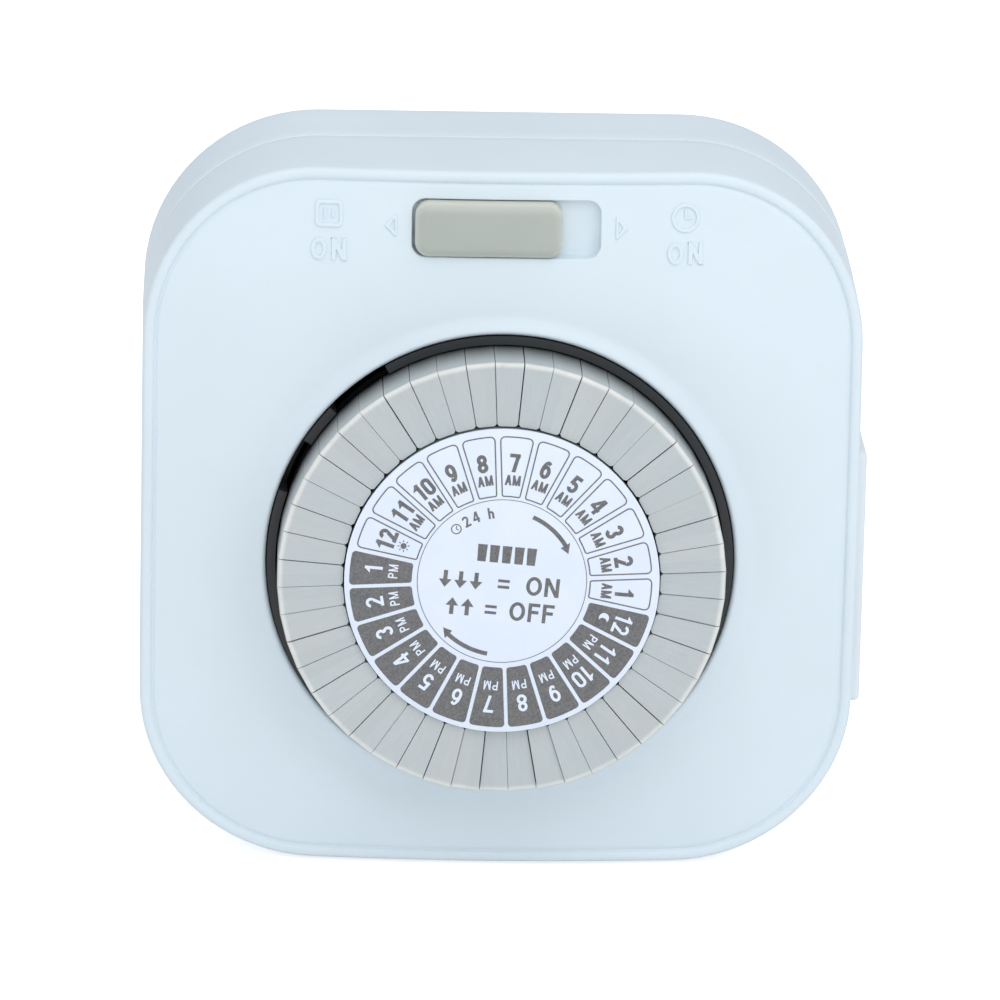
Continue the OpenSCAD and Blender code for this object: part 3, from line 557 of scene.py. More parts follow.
def paint(tree, bsdf, color, rough):
    """Gives the shader a colour and a roughness that vary over the surface."""
    tree.links.new(color, bsdf.inputs["Base Color"])
    tree.links.new(rough, bsdf.inputs["Roughness"])


def moulded(name, color, rough, grain=5200, depth=0.000012, cast=0.02, sheen=0.5):
    """Moulded plastic: fine spark grain, faint flow clouds in colour and gloss."""
    material, tree, bsdf = shader(name)
    clouds = noise(tree, 55, 2)
    flecks = noise(tree, 900, 4)
    darker = tuple(c * (1 - 2.2 * cast) for c in color)
    lighter = tuple(min(1, c * (1 + cast)) for c in color)
    fleck = tuple(c * (1 - 3 * cast) for c in color)
    body = patches(tree, clouds, 0.35, 0.65, darker, lighter)
    flecked = patches(tree, flecks, 0.4, 0.75, body, fleck, 0.25)
    paint(tree, bsdf, flecked, ramp(tree, clouds, rough - 0.05, rough + 0.06, 0.3, 0.7))
    bsdf.inputs["Specular IOR Level"].default_value = sheen
    bump(tree, bsdf, noise(tree, grain, 2), 0.35, depth)
    return material


def metal(name, color, rough, brushed=(1, 1, 1), scale=3000, depth=0.000004):
    """Stamped or drawn metal with brushing along one axis of the piece."""
    material, tree, bsdf = shader(name)
    stretched = add_node(tree, "ShaderNodeMapping", {"Vector": object_coords(tree), "Scale": brushed})
    lines = noise(tree, scale, 3, stretched.outputs["Vector"])
    stained = patches(tree, noise(tree, 220, 3), 0.35, 0.7, color, tuple(c * 0.82 for c in color))
    paint(tree, bsdf, stained, ramp(tree, lines, rough - 0.08, rough + 0.12, 0.3, 0.7))
    bsdf.inputs["Metallic"].default_value = 1.0
    bump(tree, bsdf, lines, 0.4, depth)
    return material


def pin_plastic():
    """Warm grey plastic with fine drawn lines along each pin and faint smudges, and painted highlight and
    shade.
    """
    dark, light, smudge = (0.49, 0.535, 0.545), (0.56, 0.605, 0.61), (0.55, 0.565, 0.55)
    # Painted light: the pale end colour is a painted highlight on the rounded outer ends, the dark end face
    # colour and the near black are painted shade.
    painted_end_highlight, painted_end_shade, stain = (0.88, 0.88, 0.84), (0.34, 0.38, 0.39), (0.45, 0.38, 0.31)
    cooler, painted_shade = (0.36, 0.42, 0.44), (0.045, 0.05, 0.055)
    material, tree, bsdf = shader("pin plastic")
    grain = add_node(tree, "ShaderNodeUVMap", uv_map="grain").outputs["UV"]
    drawn = add_node(tree, "ShaderNodeMapping", {"Vector": grain, "Scale": (9.0, 0.35, 1)})
    lines = noise(tree, 1.0, 4, drawn.outputs["Vector"], 0.7)
    radius = axis_of(tree, "Y", grain)
    color = patches(tree, lines, 0.3, 0.7, dark, light)
    color = patches(tree, noise(tree, 140, 3), 0.42, 0.68, color, smudge, 0.6)
    # Painted highlight: the rounded outer end of each pin is made paler, where light from above falls on
    # it.
    color = patches(tree, radius, PINS_R - 0.65, PINS_R - 0.3, color, painted_end_highlight, 0.7)
    # Painted shade: the outer end face of each pin is made darker, as it faces away from the light.
    color = patches(tree, radius, PINS_R - 0.13, PINS_R - 0.04, color, painted_end_shade, 0.7)
    color = patches(tree, noise(tree, 300, 5, rough=0.7), 0.64, 0.80, color, stain, 0.5)
    # Each pin has a tone of its own, from the number that its grain coordinate rounds to.
    own = add_node(tree, "ShaderNodeMath", {0: axis_of(tree, "X", grain), 1: PIN_PITCH}, operation="SNAP")
    tone = add_node(tree, "ShaderNodeTexWhiteNoise", {"W": own.outputs[0]}, noise_dimensions="1D")
    color = patches(tree, tone.outputs["Value"], 0, 1, color, cooler, 0.16)
    # Painted shade: each pin gets darker towards its foot, the part that sits down in the opening.
    shade_from, shade_to = PINS_D - PIN_SHADE - 0.4, PINS_D - 1.2
    depth = axis_of(tree, "Y")
    color = patches(tree, depth, -shade_from * MM, -shade_to * MM, painted_shade, color)
    paint(tree, bsdf, color, ramp(tree, lines, 0.42, 0.58, 0.3, 0.7))
    bump(tree, bsdf, lines, 0.3, 0.00002)
    return material


def knob_plastic():
    """Grey-green moulded plastic that is paler along its rounded rim."""
    material = moulded("knob plastic", (0.445, 0.485, 0.445), 0.46, grain=3800, depth=0.000018, cast=0.022)
    pale = (0.66, 0.67, 0.585)
    tree = material.node_tree
    socket = tree.nodes["Principled BSDF"].inputs["Base Color"]
    top = -knob_high.y * MM
    depth = axis_of(tree, "Y")
    plain = socket.links[0].from_socket
    tree.links.new(patches(tree, depth, top + 0.02 * MM, top + 0.7 * MM, plain, pale), socket)
    return material


def label_film():
    """Cool white film with a faint mottle and a soft gloss."""
    dark, light = (0.765, 0.84, 0.97), (0.80, 0.865, 0.975)
    material, tree, bsdf = shader("label film")
    mottle = noise(tree, 260, 3)
    color = patches(tree, mottle, 0.35, 0.65, dark, light)
    paint(tree, bsdf, color, ramp(tree, mottle, 0.28, 0.36))
    bump(tree, bsdf, noise(tree, 2200, 2), 0.2, 0.000006)
    return material


def label_ink():
    """Dark grey print with a fine uneven grain, a hint of brown and small worn specks."""
    grey, brown = (0.104, 0.107, 0.112), (0.134, 0.126, 0.117)
    thin, bare = (0.225, 0.228, 0.24), (0.44, 0.45, 0.48)
    material, tree, bsdf = shader("label ink")
    mottle = noise(tree, 900, 3)
    grain = noise(tree, 4600, 3, rough=0.75)
    specks = noise(tree, 6500, 2)
    color = patches(tree, mottle, 0.35, 0.65, grey, brown)
    color = patches(tree, grain, 0.36, 0.66, color, thin, 0.75)
    color = patches(tree, specks, 0.70, 0.80, color, bare, 0.7)
    paint(tree, bsdf, color, ramp(tree, mottle, 0.35, 0.5))
    bump(tree, bsdf, grain, 0.3, 0.000006)
    return material


def winding():
    """Enamelled copper wire wound round the motor: bands round its axis."""
    dark, light = (0.30, 0.10, 0.035), (0.62, 0.27, 0.10)
    material, tree, bsdf = shader("copper winding")
    wave = {"Vector": object_coords(tree), "Scale": 900, "Distortion": 1.5}
    bands = add_node(tree, "ShaderNodeTexWave", wave, wave_type="BANDS", bands_direction="Y").outputs["Fac"]
    paint(tree, bsdf, blend_color(tree, bands, dark, light), ramp(tree, noise(tree, 400), 0.25, 0.4))
    bsdf.inputs["Metallic"].default_value = 0.8
    bump(tree, bsdf, bands, 0.8, 0.00006)
    return material


CASE = moulded("case plastic", (0.725, 0.822, 0.882), 0.40, cast=0.010)
INSERT = moulded("insert plastic", (0.80, 0.865, 0.90), 0.40, cast=0.010)
PINS = pin_plastic()
KNOB = knob_plastic()
# Dark plastic made near black: painted shade for the deep gaps seen round the dial.
DIAL_WHEEL_SHADED = moulded("dial wheel plastic", (0.009, 0.010, 0.011), 0.5, cast=0.06, sheen=0.2)
LABEL = label_film()
INK = label_ink()
BLADE = metal("plated blade", (0.70, 0.66, 0.56), 0.28, (8, 0.6, 8))
FINISHES = {
    "case": CASE, "pins": PINS, "knob": KNOB, "label": LABEL, "blade_metal": BLADE,
    "charcoal": moulded("charcoal plastic", (0.030, 0.034, 0.037), 0.36, cast=0.06),
    "natural": moulded("natural acetal", (0.80, 0.78, 0.71), 0.38, cast=0.015),
    "brass": metal("brass", (0.72, 0.52, 0.24), 0.30, (1, 1, 6)),
    "screw_steel": metal("zinc plated steel", (0.58, 0.59, 0.61), 0.34),
    "motor_steel": metal("drawn steel", (0.60, 0.61, 0.63), 0.36, (3, 0.5, 3)),
    "copper_wire": winding(),
    "wire_black": moulded("black insulation", (0.022, 0.022, 0.024), 0.45, grain=2600, cast=0.08),
    "wire_white": moulded("white insulation", (0.72, 0.72, 0.69), 0.45, grain=2600, cast=0.02),
    "wire_red": moulded("red insulation", (0.50, 0.055, 0.035), 0.42, grain=2600, cast=0.04),
}


def dress_cad_nodes():
    """Gives every CAD node the procedural material of its slot; the dial's wheel is near black, as painted
    shade.
    """
    for part in frame["record"]["subparts"]:
        finish = DIAL_WHEEL_SHADED if part["node"] == "dial_wheel" else FINISHES[part["material_slot"]]
        for slot in cad_nodes[part["node"]].material_slots:
            slot.material = finish


# ---- shells ----

SEAM_GAP = 0.05
SEAM_LEDGE = 0.07
SEAM_ROUND = 0.14
EDGE_ROUND = 0.42
WALL_ROWS = 10
WALL_CURVE = 1.6
BACK_ROUND = 1.1
BACK_ROW = 2.1
INNER_ROUND = 0.6
FACE_SPACING = 1.1
INNER_SPACING = 2.5
# How far in from the case's outline, and how far below the border's crest: the border's inner
# slope, the thin groove at its foot and the start of the face.
BORDER_STEPS = ((0.72, 0.004), (0.84, 0.02), (0.95, 0.05), (1.05, 0.09), (1.15, 0.15), (1.24, 0.22),
                (1.30, 0.30), (1.34, BORDER_H + 0.05), (1.39, BORDER_H + 0.10),
                (1.45, BORDER_H + 0.12), (1.53, BORDER_H + 0.08), (1.63, BORDER_H + 0.02),
                (1.76, BORDER_H), (2.0, BORDER_H))
LIP_STEP = 0.3
LIP_ROWS = 13
LIP_FINE = (0.6, 0.45, 0.3, 0.18, 0.08)
LIP_BEND = 0.4
LIP_BLEND = 0.45
LIP_FOOT = 3.5
CUP_START = 0.5
CUP_EDGE = 0.12
CUP_CORNER = 0.25
# The thick pad behind the recess.
PAD_HALF = (10.8, 3.85)
PAD_DROP = 0.35


def dial_ring(r):
    return circle(DIAL_X, DIAL_Z, r, 180)


def lip_depth(x, z):
    """Face that rises in a soft roll to the lip round the dial's opening."""
    out = math.hypot(x - DIAL_X, z - DIAL_Z) - OPENING_R - LIP_ROLL
    fall = math.tan(LIP_SLOPE) * (math.sqrt(out * out + LIP_BEND ** 2) + out) / 2
    lip, base = LIP_D - fall, face(x, z)
    near = max(LIP_BLEND - abs(lip - base), 0)
    return max(lip, base) + near * near / (4 * LIP_BLEND)


def cut_outlet(obj):
    """Cuts the hole in the right wall that the outlet's insert fills."""
    bpy.ops.mesh.primitive_cube_add(size=1)
    cutter = bpy.context.object
    cutter.location = case_place(CASE_HALF - WALL / 2, OUTLET_D, OUTLET_Z)
    cutter.scale = Vector((WALL + 2.6, OUTLET_W, OUTLET_H)) * MM
    hole = obj.modifiers.new("cut", "BOOLEAN")
    hole.operation = "DIFFERENCE"
    hole.object = cutter
    hole.solver = "EXACT"
    bpy.context.view_layer.update()
    graph = bpy.context.evaluated_depsgraph_get()
    mesh = bpy.data.meshes.new_from_object(obj.evaluated_get(graph))
    obj.modifiers.clear()
    old, obj.data = obj.data, mesh
    bpy.data.meshes.remove(old)
    mesh.set_sharp_from_angle(angle=math.radians(SHARP))
    bpy.data.objects.remove(cutter)


def front_walls(b):
    """Front shell from inside its face, round the seam and up to the face; gives its ends."""
    seam = SEAM_D + SEAM_GAP
    wall_start = seam + SEAM_ROUND
    loops = [b.rim(WALL, inner_face), b.rim(WALL, seam)]
    loops += [b.rim(SEAM_LEDGE + SEAM_ROUND * far, seam + SEAM_ROUND * near) for near, far in quarter(3)]
    for k in range(1, WALL_ROWS):
        t = k / WALL_ROWS
        loops.append(b.rim(SEAM_LEDGE + (DRAFT - SEAM_LEDGE) * t ** WALL_CURVE,
                           lambda x, z, t=t: wall_start + t * (dome(x, z) - EDGE_ROUND - wall_start)))
    loops += [b.rim(DRAFT + EDGE_ROUND * near, below(dome, EDGE_ROUND * far)) for near, far in quarter(7)]
    loops += [b.rim(t, below(dome, drop)) for t, drop in BORDER_STEPS]
    return b.strips(*loops)


def dial_lip(b):
    """The lip from the face over its roll and down into the opening; gives its ends."""
    radii = [LIP_END_R - LIP_STEP * k for k in range(LIP_ROWS)]
    radii += [OPENING_R + LIP_ROLL + r for r in LIP_FINE]
    loops = [b.loop(dial_ring(r), lip_depth) for r in radii]
    for near, far in quarter(8):
        loops.append(b.loop(dial_ring(OPENING_R + LIP_ROLL * far), below(lip_depth, LIP_ROLL * near)))
    foot = DOME_C + DOME_R - WALL - LIP_FOOT
    wall = dial_ring(OPENING_R + WALL)
    loops += [b.loop(dial_ring(OPENING_R), foot), b.loop(wall, foot), b.loop(wall, inner_face)]
    return b.strips(*loops)


def slider_cup(b):
    """The slider's recess from the face down to its floor; gives its ends."""
    outline = rounded_rect(0, SLIDER_Z, *RECESS_HALF, RECESS_R, 6, 14)
    loops = [b.loop(inset(outline, -CUP_START), face), b.loop(inset(outline, -CUP_EDGE - 0.03), face)]
    for near, far in quarter(4):
        loops.append(b.loop(inset(outline, -CUP_EDGE * far), below(face, CUP_EDGE * near)))
    for near, far in quarter(3):
        loops.append(b.loop(inset(outline, CUP_CORNER * near), RECESS_FLOOR + CUP_CORNER * far))
    return b.strips(*loops)


def recess_floor(b, cup_end):
    """The recess's floor with its slot, and the pad behind it; gives the pad's top."""
    under = RECESS_FLOOR - RECESS_FLOOR_T
    slot = rounded_rect(0, SLIDER_Z, *SLOT_HALF, 0.3, 3)
    slot_top, slot_low = b.loop(slot, RECESS_FLOOR), b.loop(slot, under)
    b.patch(cup_end, [slot_top])
    b.strips(slot_top, slot_low)
    pad = rounded_rect(0, SLIDER_Z - PAD_DROP, *PAD_HALF, 0.8, 4, 6)
    pad_low = b.loop(pad, under)
    pad_top = b.loop(pad, lambda x, z: max(inner_face(x, z), under + 0.1))
    b.patch(pad_low, [slot_low])
    b.strips(pad_low, pad_top)
    return pad_top


def front_shell():
    b = Build()
    inner_edge, face_edge = front_walls(b)
    lip_start, lip_end = dial_lip(b)
    cup_start, cup_end = slider_cup(b)
    b.patch(face_edge, [lip_start, cup_start], face, FACE_SPACING)
    pad_top = recess_floor(b, cup_end)
    b.patch(inner_edge, [lip_end, pad_top], inner_face, INNER_SPACING)
    for center in COVER_SCREWS:
        post, bore = circle(*center, POST_R, 40), circle(*center, POST_BORE_R, 40)
        b.solid(post, SEAM_D + 0.02, inner_face(*center) + 0.3, 0.05, 0.15, [bore], 2)
    raised_marks(b)
    cut_outlet(b.piece("front_shell", "root", CASE, "case", ["front_cover"]))


def rear_shell():
    b = Build()
    seam = SEAM_D - SEAM_GAP
    floor_edge = b.rim(WALL + INNER_ROUND, WALL)
    loops = [floor_edge, b.rim(WALL, WALL + INNER_ROUND), b.rim(WALL, seam)]
    loops += [b.rim(SEAM_ROUND * far, seam - SEAM_ROUND * near) for near, far in quarter(3)]
    loops += [b.rim(0, seam - SEAM_ROUND - k * BACK_ROW) for k in range(1, 5)]
    loops += [b.rim(BACK_ROUND * near, BACK_ROUND * far) for near, far in quarter(7)]
    b.strips(*loops)

    holes = [screw_sink(b, center) for center in COVER_SCREWS]
    holes += [blade_slot(b, side, width) for side, width in BLADES]
    b.patch(loops[-1], [outer for outer, inner in holes])
    b.patch(floor_edge, [inner for outer, inner in holes])
    cut_outlet(b.piece("rear_shell", "root", CASE, "case", ["rear_cover"]))


def screw_sink(b, center):
    """Counterbore in the back and the boss that holds a screw; gives its ends."""
    around = [(SCREW_SINK_R + 0.3, 0.0), (SCREW_SINK_R, 0.3), (SCREW_SINK_R, SCREW_SINK_D),
              (BOSS_BORE_R, SCREW_SINK_D), (BOSS_BORE_R, SEAM_D - 0.02), (BOSS_R - 0.1, SEAM_D - 0.02),
              (BOSS_R, SEAM_D - 0.12), (BOSS_R, WALL + 0.3), (BOSS_R + 0.3, WALL)]
    rings = [b.loop(circle(*center, r, 48), d) for r, d in around]
    return b.strips(*rings)


def blade_slot(b, side, width):
    """Slot in the back that a blade comes out of; gives its ends."""
    lead_in = 0.25
    slot = rounded_rect(side * BLADE_GAP / 2, PLUG_RISE, BLADE_T / 2 + BLADE_FIT, width / 2 + BLADE_FIT,
                        0.15, 3, 3)
    loops = [b.loop(inset(slot, -lead_in), 0.0), b.loop(slot, lead_in), b.loop(slot, WALL)]
    return b.strips(*loops)


def raised_marks(b):
    """Raised marks on the face beside the slider: an outlet, a clock, ON and two arrowheads."""
    proud = 0.22
    outlet_x, clock_x = -17.2, 17.4
    words_z, sign_z = SLIDER_Z - 2.25, SLIDER_Z + 1.15

    def on_face(x, z, lift):
        return lambda u, v: (x + u, face(x + u, z + v) + lift, z + v)

    def mark(x, z, outline, holes=()):
        local = Build()
        local.solid(outline, -proud, proud, 0.0, 0.1, holes, 2)
        b.add(local.points, local.faces, lambda u, w, v: (x + u, face(x + u, z + v) + w, z + v))

    word = lettering("ON", 2.2, 0.5, 0.16)
    for x in (outlet_x, clock_x):
        b.relief(*word, 0.08, on_face(x, words_z, -proud), on_face(x, words_z, proud))
    for side in (-1, 1):
        tip, flat = side * 0.65, -side * 0.6
        outline = [(tip, 0), (flat, side * 1.25), (flat, -side * 1.25)]
        hole_flat = flat + side * 0.25
        hole = [(tip - side * 0.55, 0), (hole_flat, side * 0.65), (hole_flat, -side * 0.65)]
        mark(side * 11.2, SLIDER_Z + 0.2, fillet(outline, 0.12, 3), [fillet(hole, 0.05, 2)])
    # Outlet pictogram: a rounded frame with two slots.
    mark(outlet_x, sign_z, rounded_rect(0, 0, 1.35, 1.3, 0.5, 4), [rounded_rect(0, 0, 0.97, 0.92, 0.3, 4)])
    for u, tall in ((-0.4, 0.5), (0.4, 0.4)):
        mark(outlet_x + u, sign_z, rounded_rect(0, 0, 0.15, tall, 0.1, 2))
    # Clock pictogram: a ring with two hands.
    mark(clock_x, sign_z, circle(0, 0, 1.4, 40), [circle(0, 0, 1.04, 40)])
    mark(clock_x, sign_z, rounded_rect(0, 0.325, 0.15, 0.475, 0.1, 2))
    mark(clock_x, sign_z, rounded_rect(0.36, 0, 0.26, 0.15, 0.1, 2))


# ---- dial ----


def polar(r, angle):
    """Place in the dial's plane; the angle is clockwise from the top, in radians."""
    return DIAL_X + r * math.sin(angle), DIAL_Z + r * math.cos(angle)


def polar_arc(r, start, end, steps):
    return [polar(r, start + (end - start) * i / steps) for i in range(steps + 1)]


def turned(x, z, angle):
    """Gives a function for the place of (u, v) round (x, z), turned clockwise by the angle."""
    c, n = math.cos(angle), math.sin(angle)
    return lambda u, v: (x + u * c + v * n, z - u * n + v * c)


def hour_angle(k):
    """Angle of hour k's middle, clockwise from the top."""
    return math.radians(DIAL_TURN + 360 / HOURS * (TOP_HOUR - k))


def hour_name(k):
    if k % 12 == 0:
        return "12noon" if k == 12 else "12night"
    return f"{k}am" if k < 12 else f"{k - 12}pm"


def pin_half(r):
    """Half the width of a pin's wedge at a radius, with the notches at its inner end."""
    half = r * math.tan(PIN_STEP / 2) - PIN_GAP / 2
    return half - max(0, PIN_NOTCH - (r - PINS_IN_R))


def one_pin(b, angle, lean, sink):
    """A wedge with a rounded outer end and an undercut, and its tail; gives its grain."""
    top, foot = PINS_D - sink, PINS_D - PIN_HEAD
    c, n = math.cos(angle), math.sin(angle)

    def place(u, w, v):
        return DIAL_X + u * c - (w + lean) * n, v, DIAL_Z + u * n + (w + lean) * c

    wedge = Build()
    tip = PINS_R - 0.03
    side = fillet([(PINS_IN_R, foot), (PINS_IN_R + PIN_NOTCH, foot), (TAIL_OUT_R, foot),
                   (TAIL_OUT_R, PINS_D - PIN_END), (tip, PINS_D - PIN_END), (tip, top),
                   (PINS_IN_R + PIN_NOTCH, top), (PINS_IN_R, top)],
                  [0.06, 0.01, 0.05, 0.05, 0.08, 0.42, 0.01, 0.06], 5, 0.02)
    half = np.array([pin_half(u) for u, v in side])
    wedge.solid(side, -half, half, 0.03, 0.03, (), 1)
    wedge.solid(np.array([(TAIL_IN_R, TAIL_END_D), (TAIL_OUT_R, TAIL_END_D), (TAIL_OUT_R, foot + 0.05),
                          (TAIL_IN_R, foot + 0.05), (TAIL_IN_R, TAIL_END_D + 0.5),
                          (TAIL_IN_R - HOOK, TAIL_END_D + 0.5), (TAIL_IN_R - HOOK, TAIL_END_D)]),
                -TAIL_W / 2, TAIL_W / 2, 0.04, 0.04, (), 1)
    b.add(wedge.points, wedge.faces, place)
    return [(w, u) for u, w, v in wedge.points]


# Pins that the photograph shows a little lower than their neighbours.
LOW_PINS = {"7pm": (0.25, 0.6), "8pm": (0.6, 0.2), "1am": (0.2, 0.1)}


def pins():
    """One piece for each hour, with its two half-hour pins."""
    chance = random.Random(48)
    for k in range(1, HOURS + 1):
        b = Build()
        grain = []
        name = hour_name(k)
        for s, low in zip((-0.5, 0.5), LOW_PINS.get(name, (0, 0))):
            angle = math.pi / 2 - hour_angle(k) + s * PIN_STEP
            local = one_pin(b, angle, chance.uniform(-0.04, 0.04), low + 0.1 * chance.random() ** 2)
            grain += [(w + PIN_PITCH * (2 * k + s + 0.5), u) for w, u in local]
        b.piece(f"hour_pins_{name}", f"pins_{name}", PINS, "pins", [f"pins_{name}"], grain=grain)


FILM_D = LABEL_D - 0.03
INK_T = 0.012


def dial_label():
    b = Build()
    b.solid(circle(DIAL_X, DIAL_Z, LABEL_R, 160), LABEL_D - 0.25, FILM_D, 0.02, 0.04, (), 2)
    b.piece("label_film", "dial", LABEL, "label", ["dial_label"])


# The outer and inner radius of the printed cells before noon and after it.
CELL_OUT = (14.6, 14.78)
CELL_IN = (8.5, 8.78)
CELL_GAP = 0.42
CELL_LINE = 0.13


def cell_outline(k, shrink=0.0):
    """Outline of an hour's printed cell, with sides parallel to the gaps."""
    edge = CELL_GAP / 2 + shrink
    middle = hour_angle(k)
    out_r, in_r = CELL_OUT[k > 12] - shrink, CELL_IN[k > 12] + shrink
    u_out = PIN_STEP - math.asin(edge / out_r)
    u_in = PIN_STEP - math.asin(edge / in_r)
    steps = 4
    outer = polar_arc(out_r, middle - u_out, middle + u_out, steps)
    inner = polar_arc(in_r, middle + u_in, middle - u_in, steps)
    corner_out, corner_in = max((0.32 if k > 12 else 0.5) - shrink, 0.1), max(0.25 - shrink, 0.1)
    flat = [0.02] * (steps - 1)
    loop = fillet(outer + inner, [corner_out, *flat, corner_out, corner_in, *flat, corner_in], 4)
    return loop[::-1]


def printed(b, outline, level, holes=()):
    """A flat printed shape, this far above the film."""
    b.patch(b.loop(outline, FILM_D + level), [b.loop(hole, FILM_D + level) for hole in holes])


def print_text(b, text, height, stroke, angle, r, level, turn=None, space=0.13, squeeze=1.0):
    """Lettering on the dial with its foot towards the middle, or turned by an angle of its own."""
    spot = turned(*polar(r, angle), angle if turn is None else turn)

    def place(u, v):
        x, z = spot(u, v)
        return x, FILM_D + level, z

    b.add(*lettering(text, height, stroke, space, squeeze), place)


def arc_arrow(b, r, start, end, width, head):
    """Curved arrow that runs clockwise from start to end, in radians from the top."""
    steps = 14
    tail = end - head / r
    outer = polar_arc(r + width / 2, start, tail, steps)
    inner = polar_arc(r - width / 2, tail, start, steps)
    tip = [polar(r + width * 1.25, tail), polar(r - 0.12, end), polar(r - width * 1.25, tail)]
    printed(b, np.array(outer + tip + inner)[::-1], INK_T)


def dial_print():
    """Lined cells before noon, dark cells with pale numerals after it, and the middle."""
    ink, white = Build(), Build()
    for k in range(1, HOURS + 1):
        day = k <= 12
        number = str(k if day else k - 12)
        angle = hour_angle(k)
        target, level, small_r = (ink, INK_T, 10.2) if day else (white, 2 * INK_T, 10.6)
        if day:
            printed(ink, cell_outline(k), INK_T, [cell_outline(k, CELL_LINE)])
            print_text(target, number, 1.84, 0.37, angle, 11.95, level, space=0.12)
            small, line = 1.03, 0.24
        else:
            printed(ink, cell_outline(k, -0.03), INK_T)
            print_text(target, number, 1.75, 0.29, angle, 12.5, level, space=0.18)
            small, line = 0.92, 0.15
        if k % 12:
            print_text(target, "AM" if day else "PM", small, line, angle, small_r, level,
                       space=0.10 if day else 0.2, squeeze=0.88)
        elif day:
            sun_mark(target, angle, small_r, level)
        else:
            moon_mark(target, angle, small_r, level)
    printed(ink, circle(DIAL_X, DIAL_Z, 8.25, 120), INK_T, [circle(DIAL_X, DIAL_Z, 8.18, 120)])
    centre_marks(ink)
    ink.piece("label_print", "dial", INK, "label", closed=False)
    white.piece("label_numerals", "dial", LABEL, "label", closed=False)


def sun_mark(b, angle, r, level):
    x, z = polar(r, angle)
    printed(b, circle(x, z, 0.3, 16), level)
    for i in range(8):
        spot = turned(x, z, -i * math.pi / 4)
        ray = [(0.4, -0.05), (0.58, -0.05), (0.58, 0.05), (0.4, 0.05)]
        printed(b, np.array([spot(u, v) for u, v in ray]), level)


def moon_mark(b, angle, r, level):
    outer = [(0.5 * math.cos(a), 0.5 * math.sin(a)) for a in np.linspace(0.9, 2 * math.pi - 0.9, 16)]
    tip_u, tip_v = outer[-1]
    shift = 0.42
    radius = math.hypot(tip_u - shift, tip_v)
    start = math.atan2(tip_v, tip_u - shift)
    inner = [(shift + radius * math.cos(a), radius * math.sin(a))
             for a in np.linspace(start + 2 * math.pi, -start, 12)[1:-1]]
    spot = turned(*polar(r, angle), angle)
    printed(b, np.array([spot(u, v) for u, v in outer + inner]), level)


def centre_marks(b):
    """Marks in the middle: pins down for ON, pins up for OFF, a clock and two arrows."""
    turn = math.radians(DIAL_TURN)
    spot = turned(DIAL_X, DIAL_Z, turn)

    def put(u, v, outline):
        printed(b, np.array([spot(u + x, v + z) for x, z in outline]), INK_T)

    def words(text, u, v, size):
        r, angle = math.hypot(u, v), math.atan2(u, v) + turn
        print_text(b, text, size, 0.33, angle, r, INK_T, turn, 0.14, 1.06)

    def arrow(u, v, way):
        shape = [(-0.2, 0.85), (-0.2, -0.05), (-0.62, -0.05), (0, -0.85), (0.62, -0.05), (0.2, -0.05),
                 (0.2, 0.85)]
        put(u, v, [(x, way * z) for x, z in shape[::way]])

    bars_row, on_row, off_row, size = 2.7, -0.22, -2.9, 1.9
    for i in range(5):
        put(0.2 + (i - 2) * 1.2, bars_row, [(-0.40, -0.86), (0.40, -0.86), (0.47, 0.86), (-0.47, 0.86)])
    for u in (-5.5, -4.0, -2.5):
        arrow(u, on_row, 1)
    words("=", 0.2, on_row, size)
    words("ON", 4.0, on_row, size)
    for u in (-4.6, -3.1):
        arrow(u, off_row, -1)
    words("=", -0.8, off_row, size)
    words("OFF", 3.2, off_row, size)
    # A small clock with two hands, and "24 h" beside it, along a ring round the middle.
    x, z = polar(6.9, math.radians(-41))
    printed(b, circle(x, z, 0.52, 28), INK_T, [circle(x, z, 0.41, 28)])
    foot = np.array([x, z])
    for angle, reach in ((turn, 0.34), (turn + 1.9, 0.26)):
        du, dv = math.sin(angle), math.cos(angle)
        side = np.array([dv, -du]) * 0.045
        end = foot + np.array([du, dv]) * reach
        printed(b, np.array([foot - side, end - side, end + side, foot + side]), INK_T)
    for text, at in (("2", -31), ("4", -22.5), ("h", -10)):
        print_text(b, text, 1.12, 0.2, math.radians(at), 6.95, INK_T)
    arc_arrow(b, 7.1, math.radians(24), math.radians(66), 0.42, 0.9)
    arc_arrow(b, 7.45, math.radians(190), math.radians(230), 0.42, 0.9)


# ---- slider knob, outlet and blades ----


def slider_knob():
    """Long knob with a soft rounded rim, on the post that goes through the recess's slot."""
    b = Build()
    foot = RECESS_FLOOR + 0.1
    left, right = knob_low.x + 0.15, knob_high.x
    outline = rounded_rect((left + right) / 2, SLIDER_Z, (right - left) / 2, KNOB_HALF_TALL,
                           KNOB_CORNER, 8, 10)
    b.solid(outline, foot, knob_high.y, 0.1, KNOB_ROUND, (), 12)
    post = rounded_rect((knob_low.x + knob_high.x) / 2, SLIDER_Z, 2.7, 1.3, 0.2, 2)
    b.solid(post, knob_low.y, foot + 0.02, 0.05, 0.01, (), 1)
    b.piece("slider_knob", "slider", KNOB, "knob", ["slide_knob"], sharp=50)


def outlet_face():
    """The insert in the right wall with the slots of the switched outlet."""
    b = Build(side_place)
    outline = rounded_rect(OUTLET_D, OUTLET_Z, OUTLET_W / 2 - 0.02, OUTLET_H / 2 - 0.02, 0.7, 6, 8)
    slots = [rounded_rect(OUTLET_D, OUTLET_Z + side * BLADE_GAP / 2, width / 2 + OUTLET_FIT,
                          BLADE_T / 2 + OUTLET_FIT, 0.25, 4, 4) for side, width in BLADES]
    b.solid(outline, outlet_low.x, outlet_high.x, 0.1, 0.5, slots, 6)
    b.piece("outlet_face", "root", INSERT, "case", ["outlet_insert"])


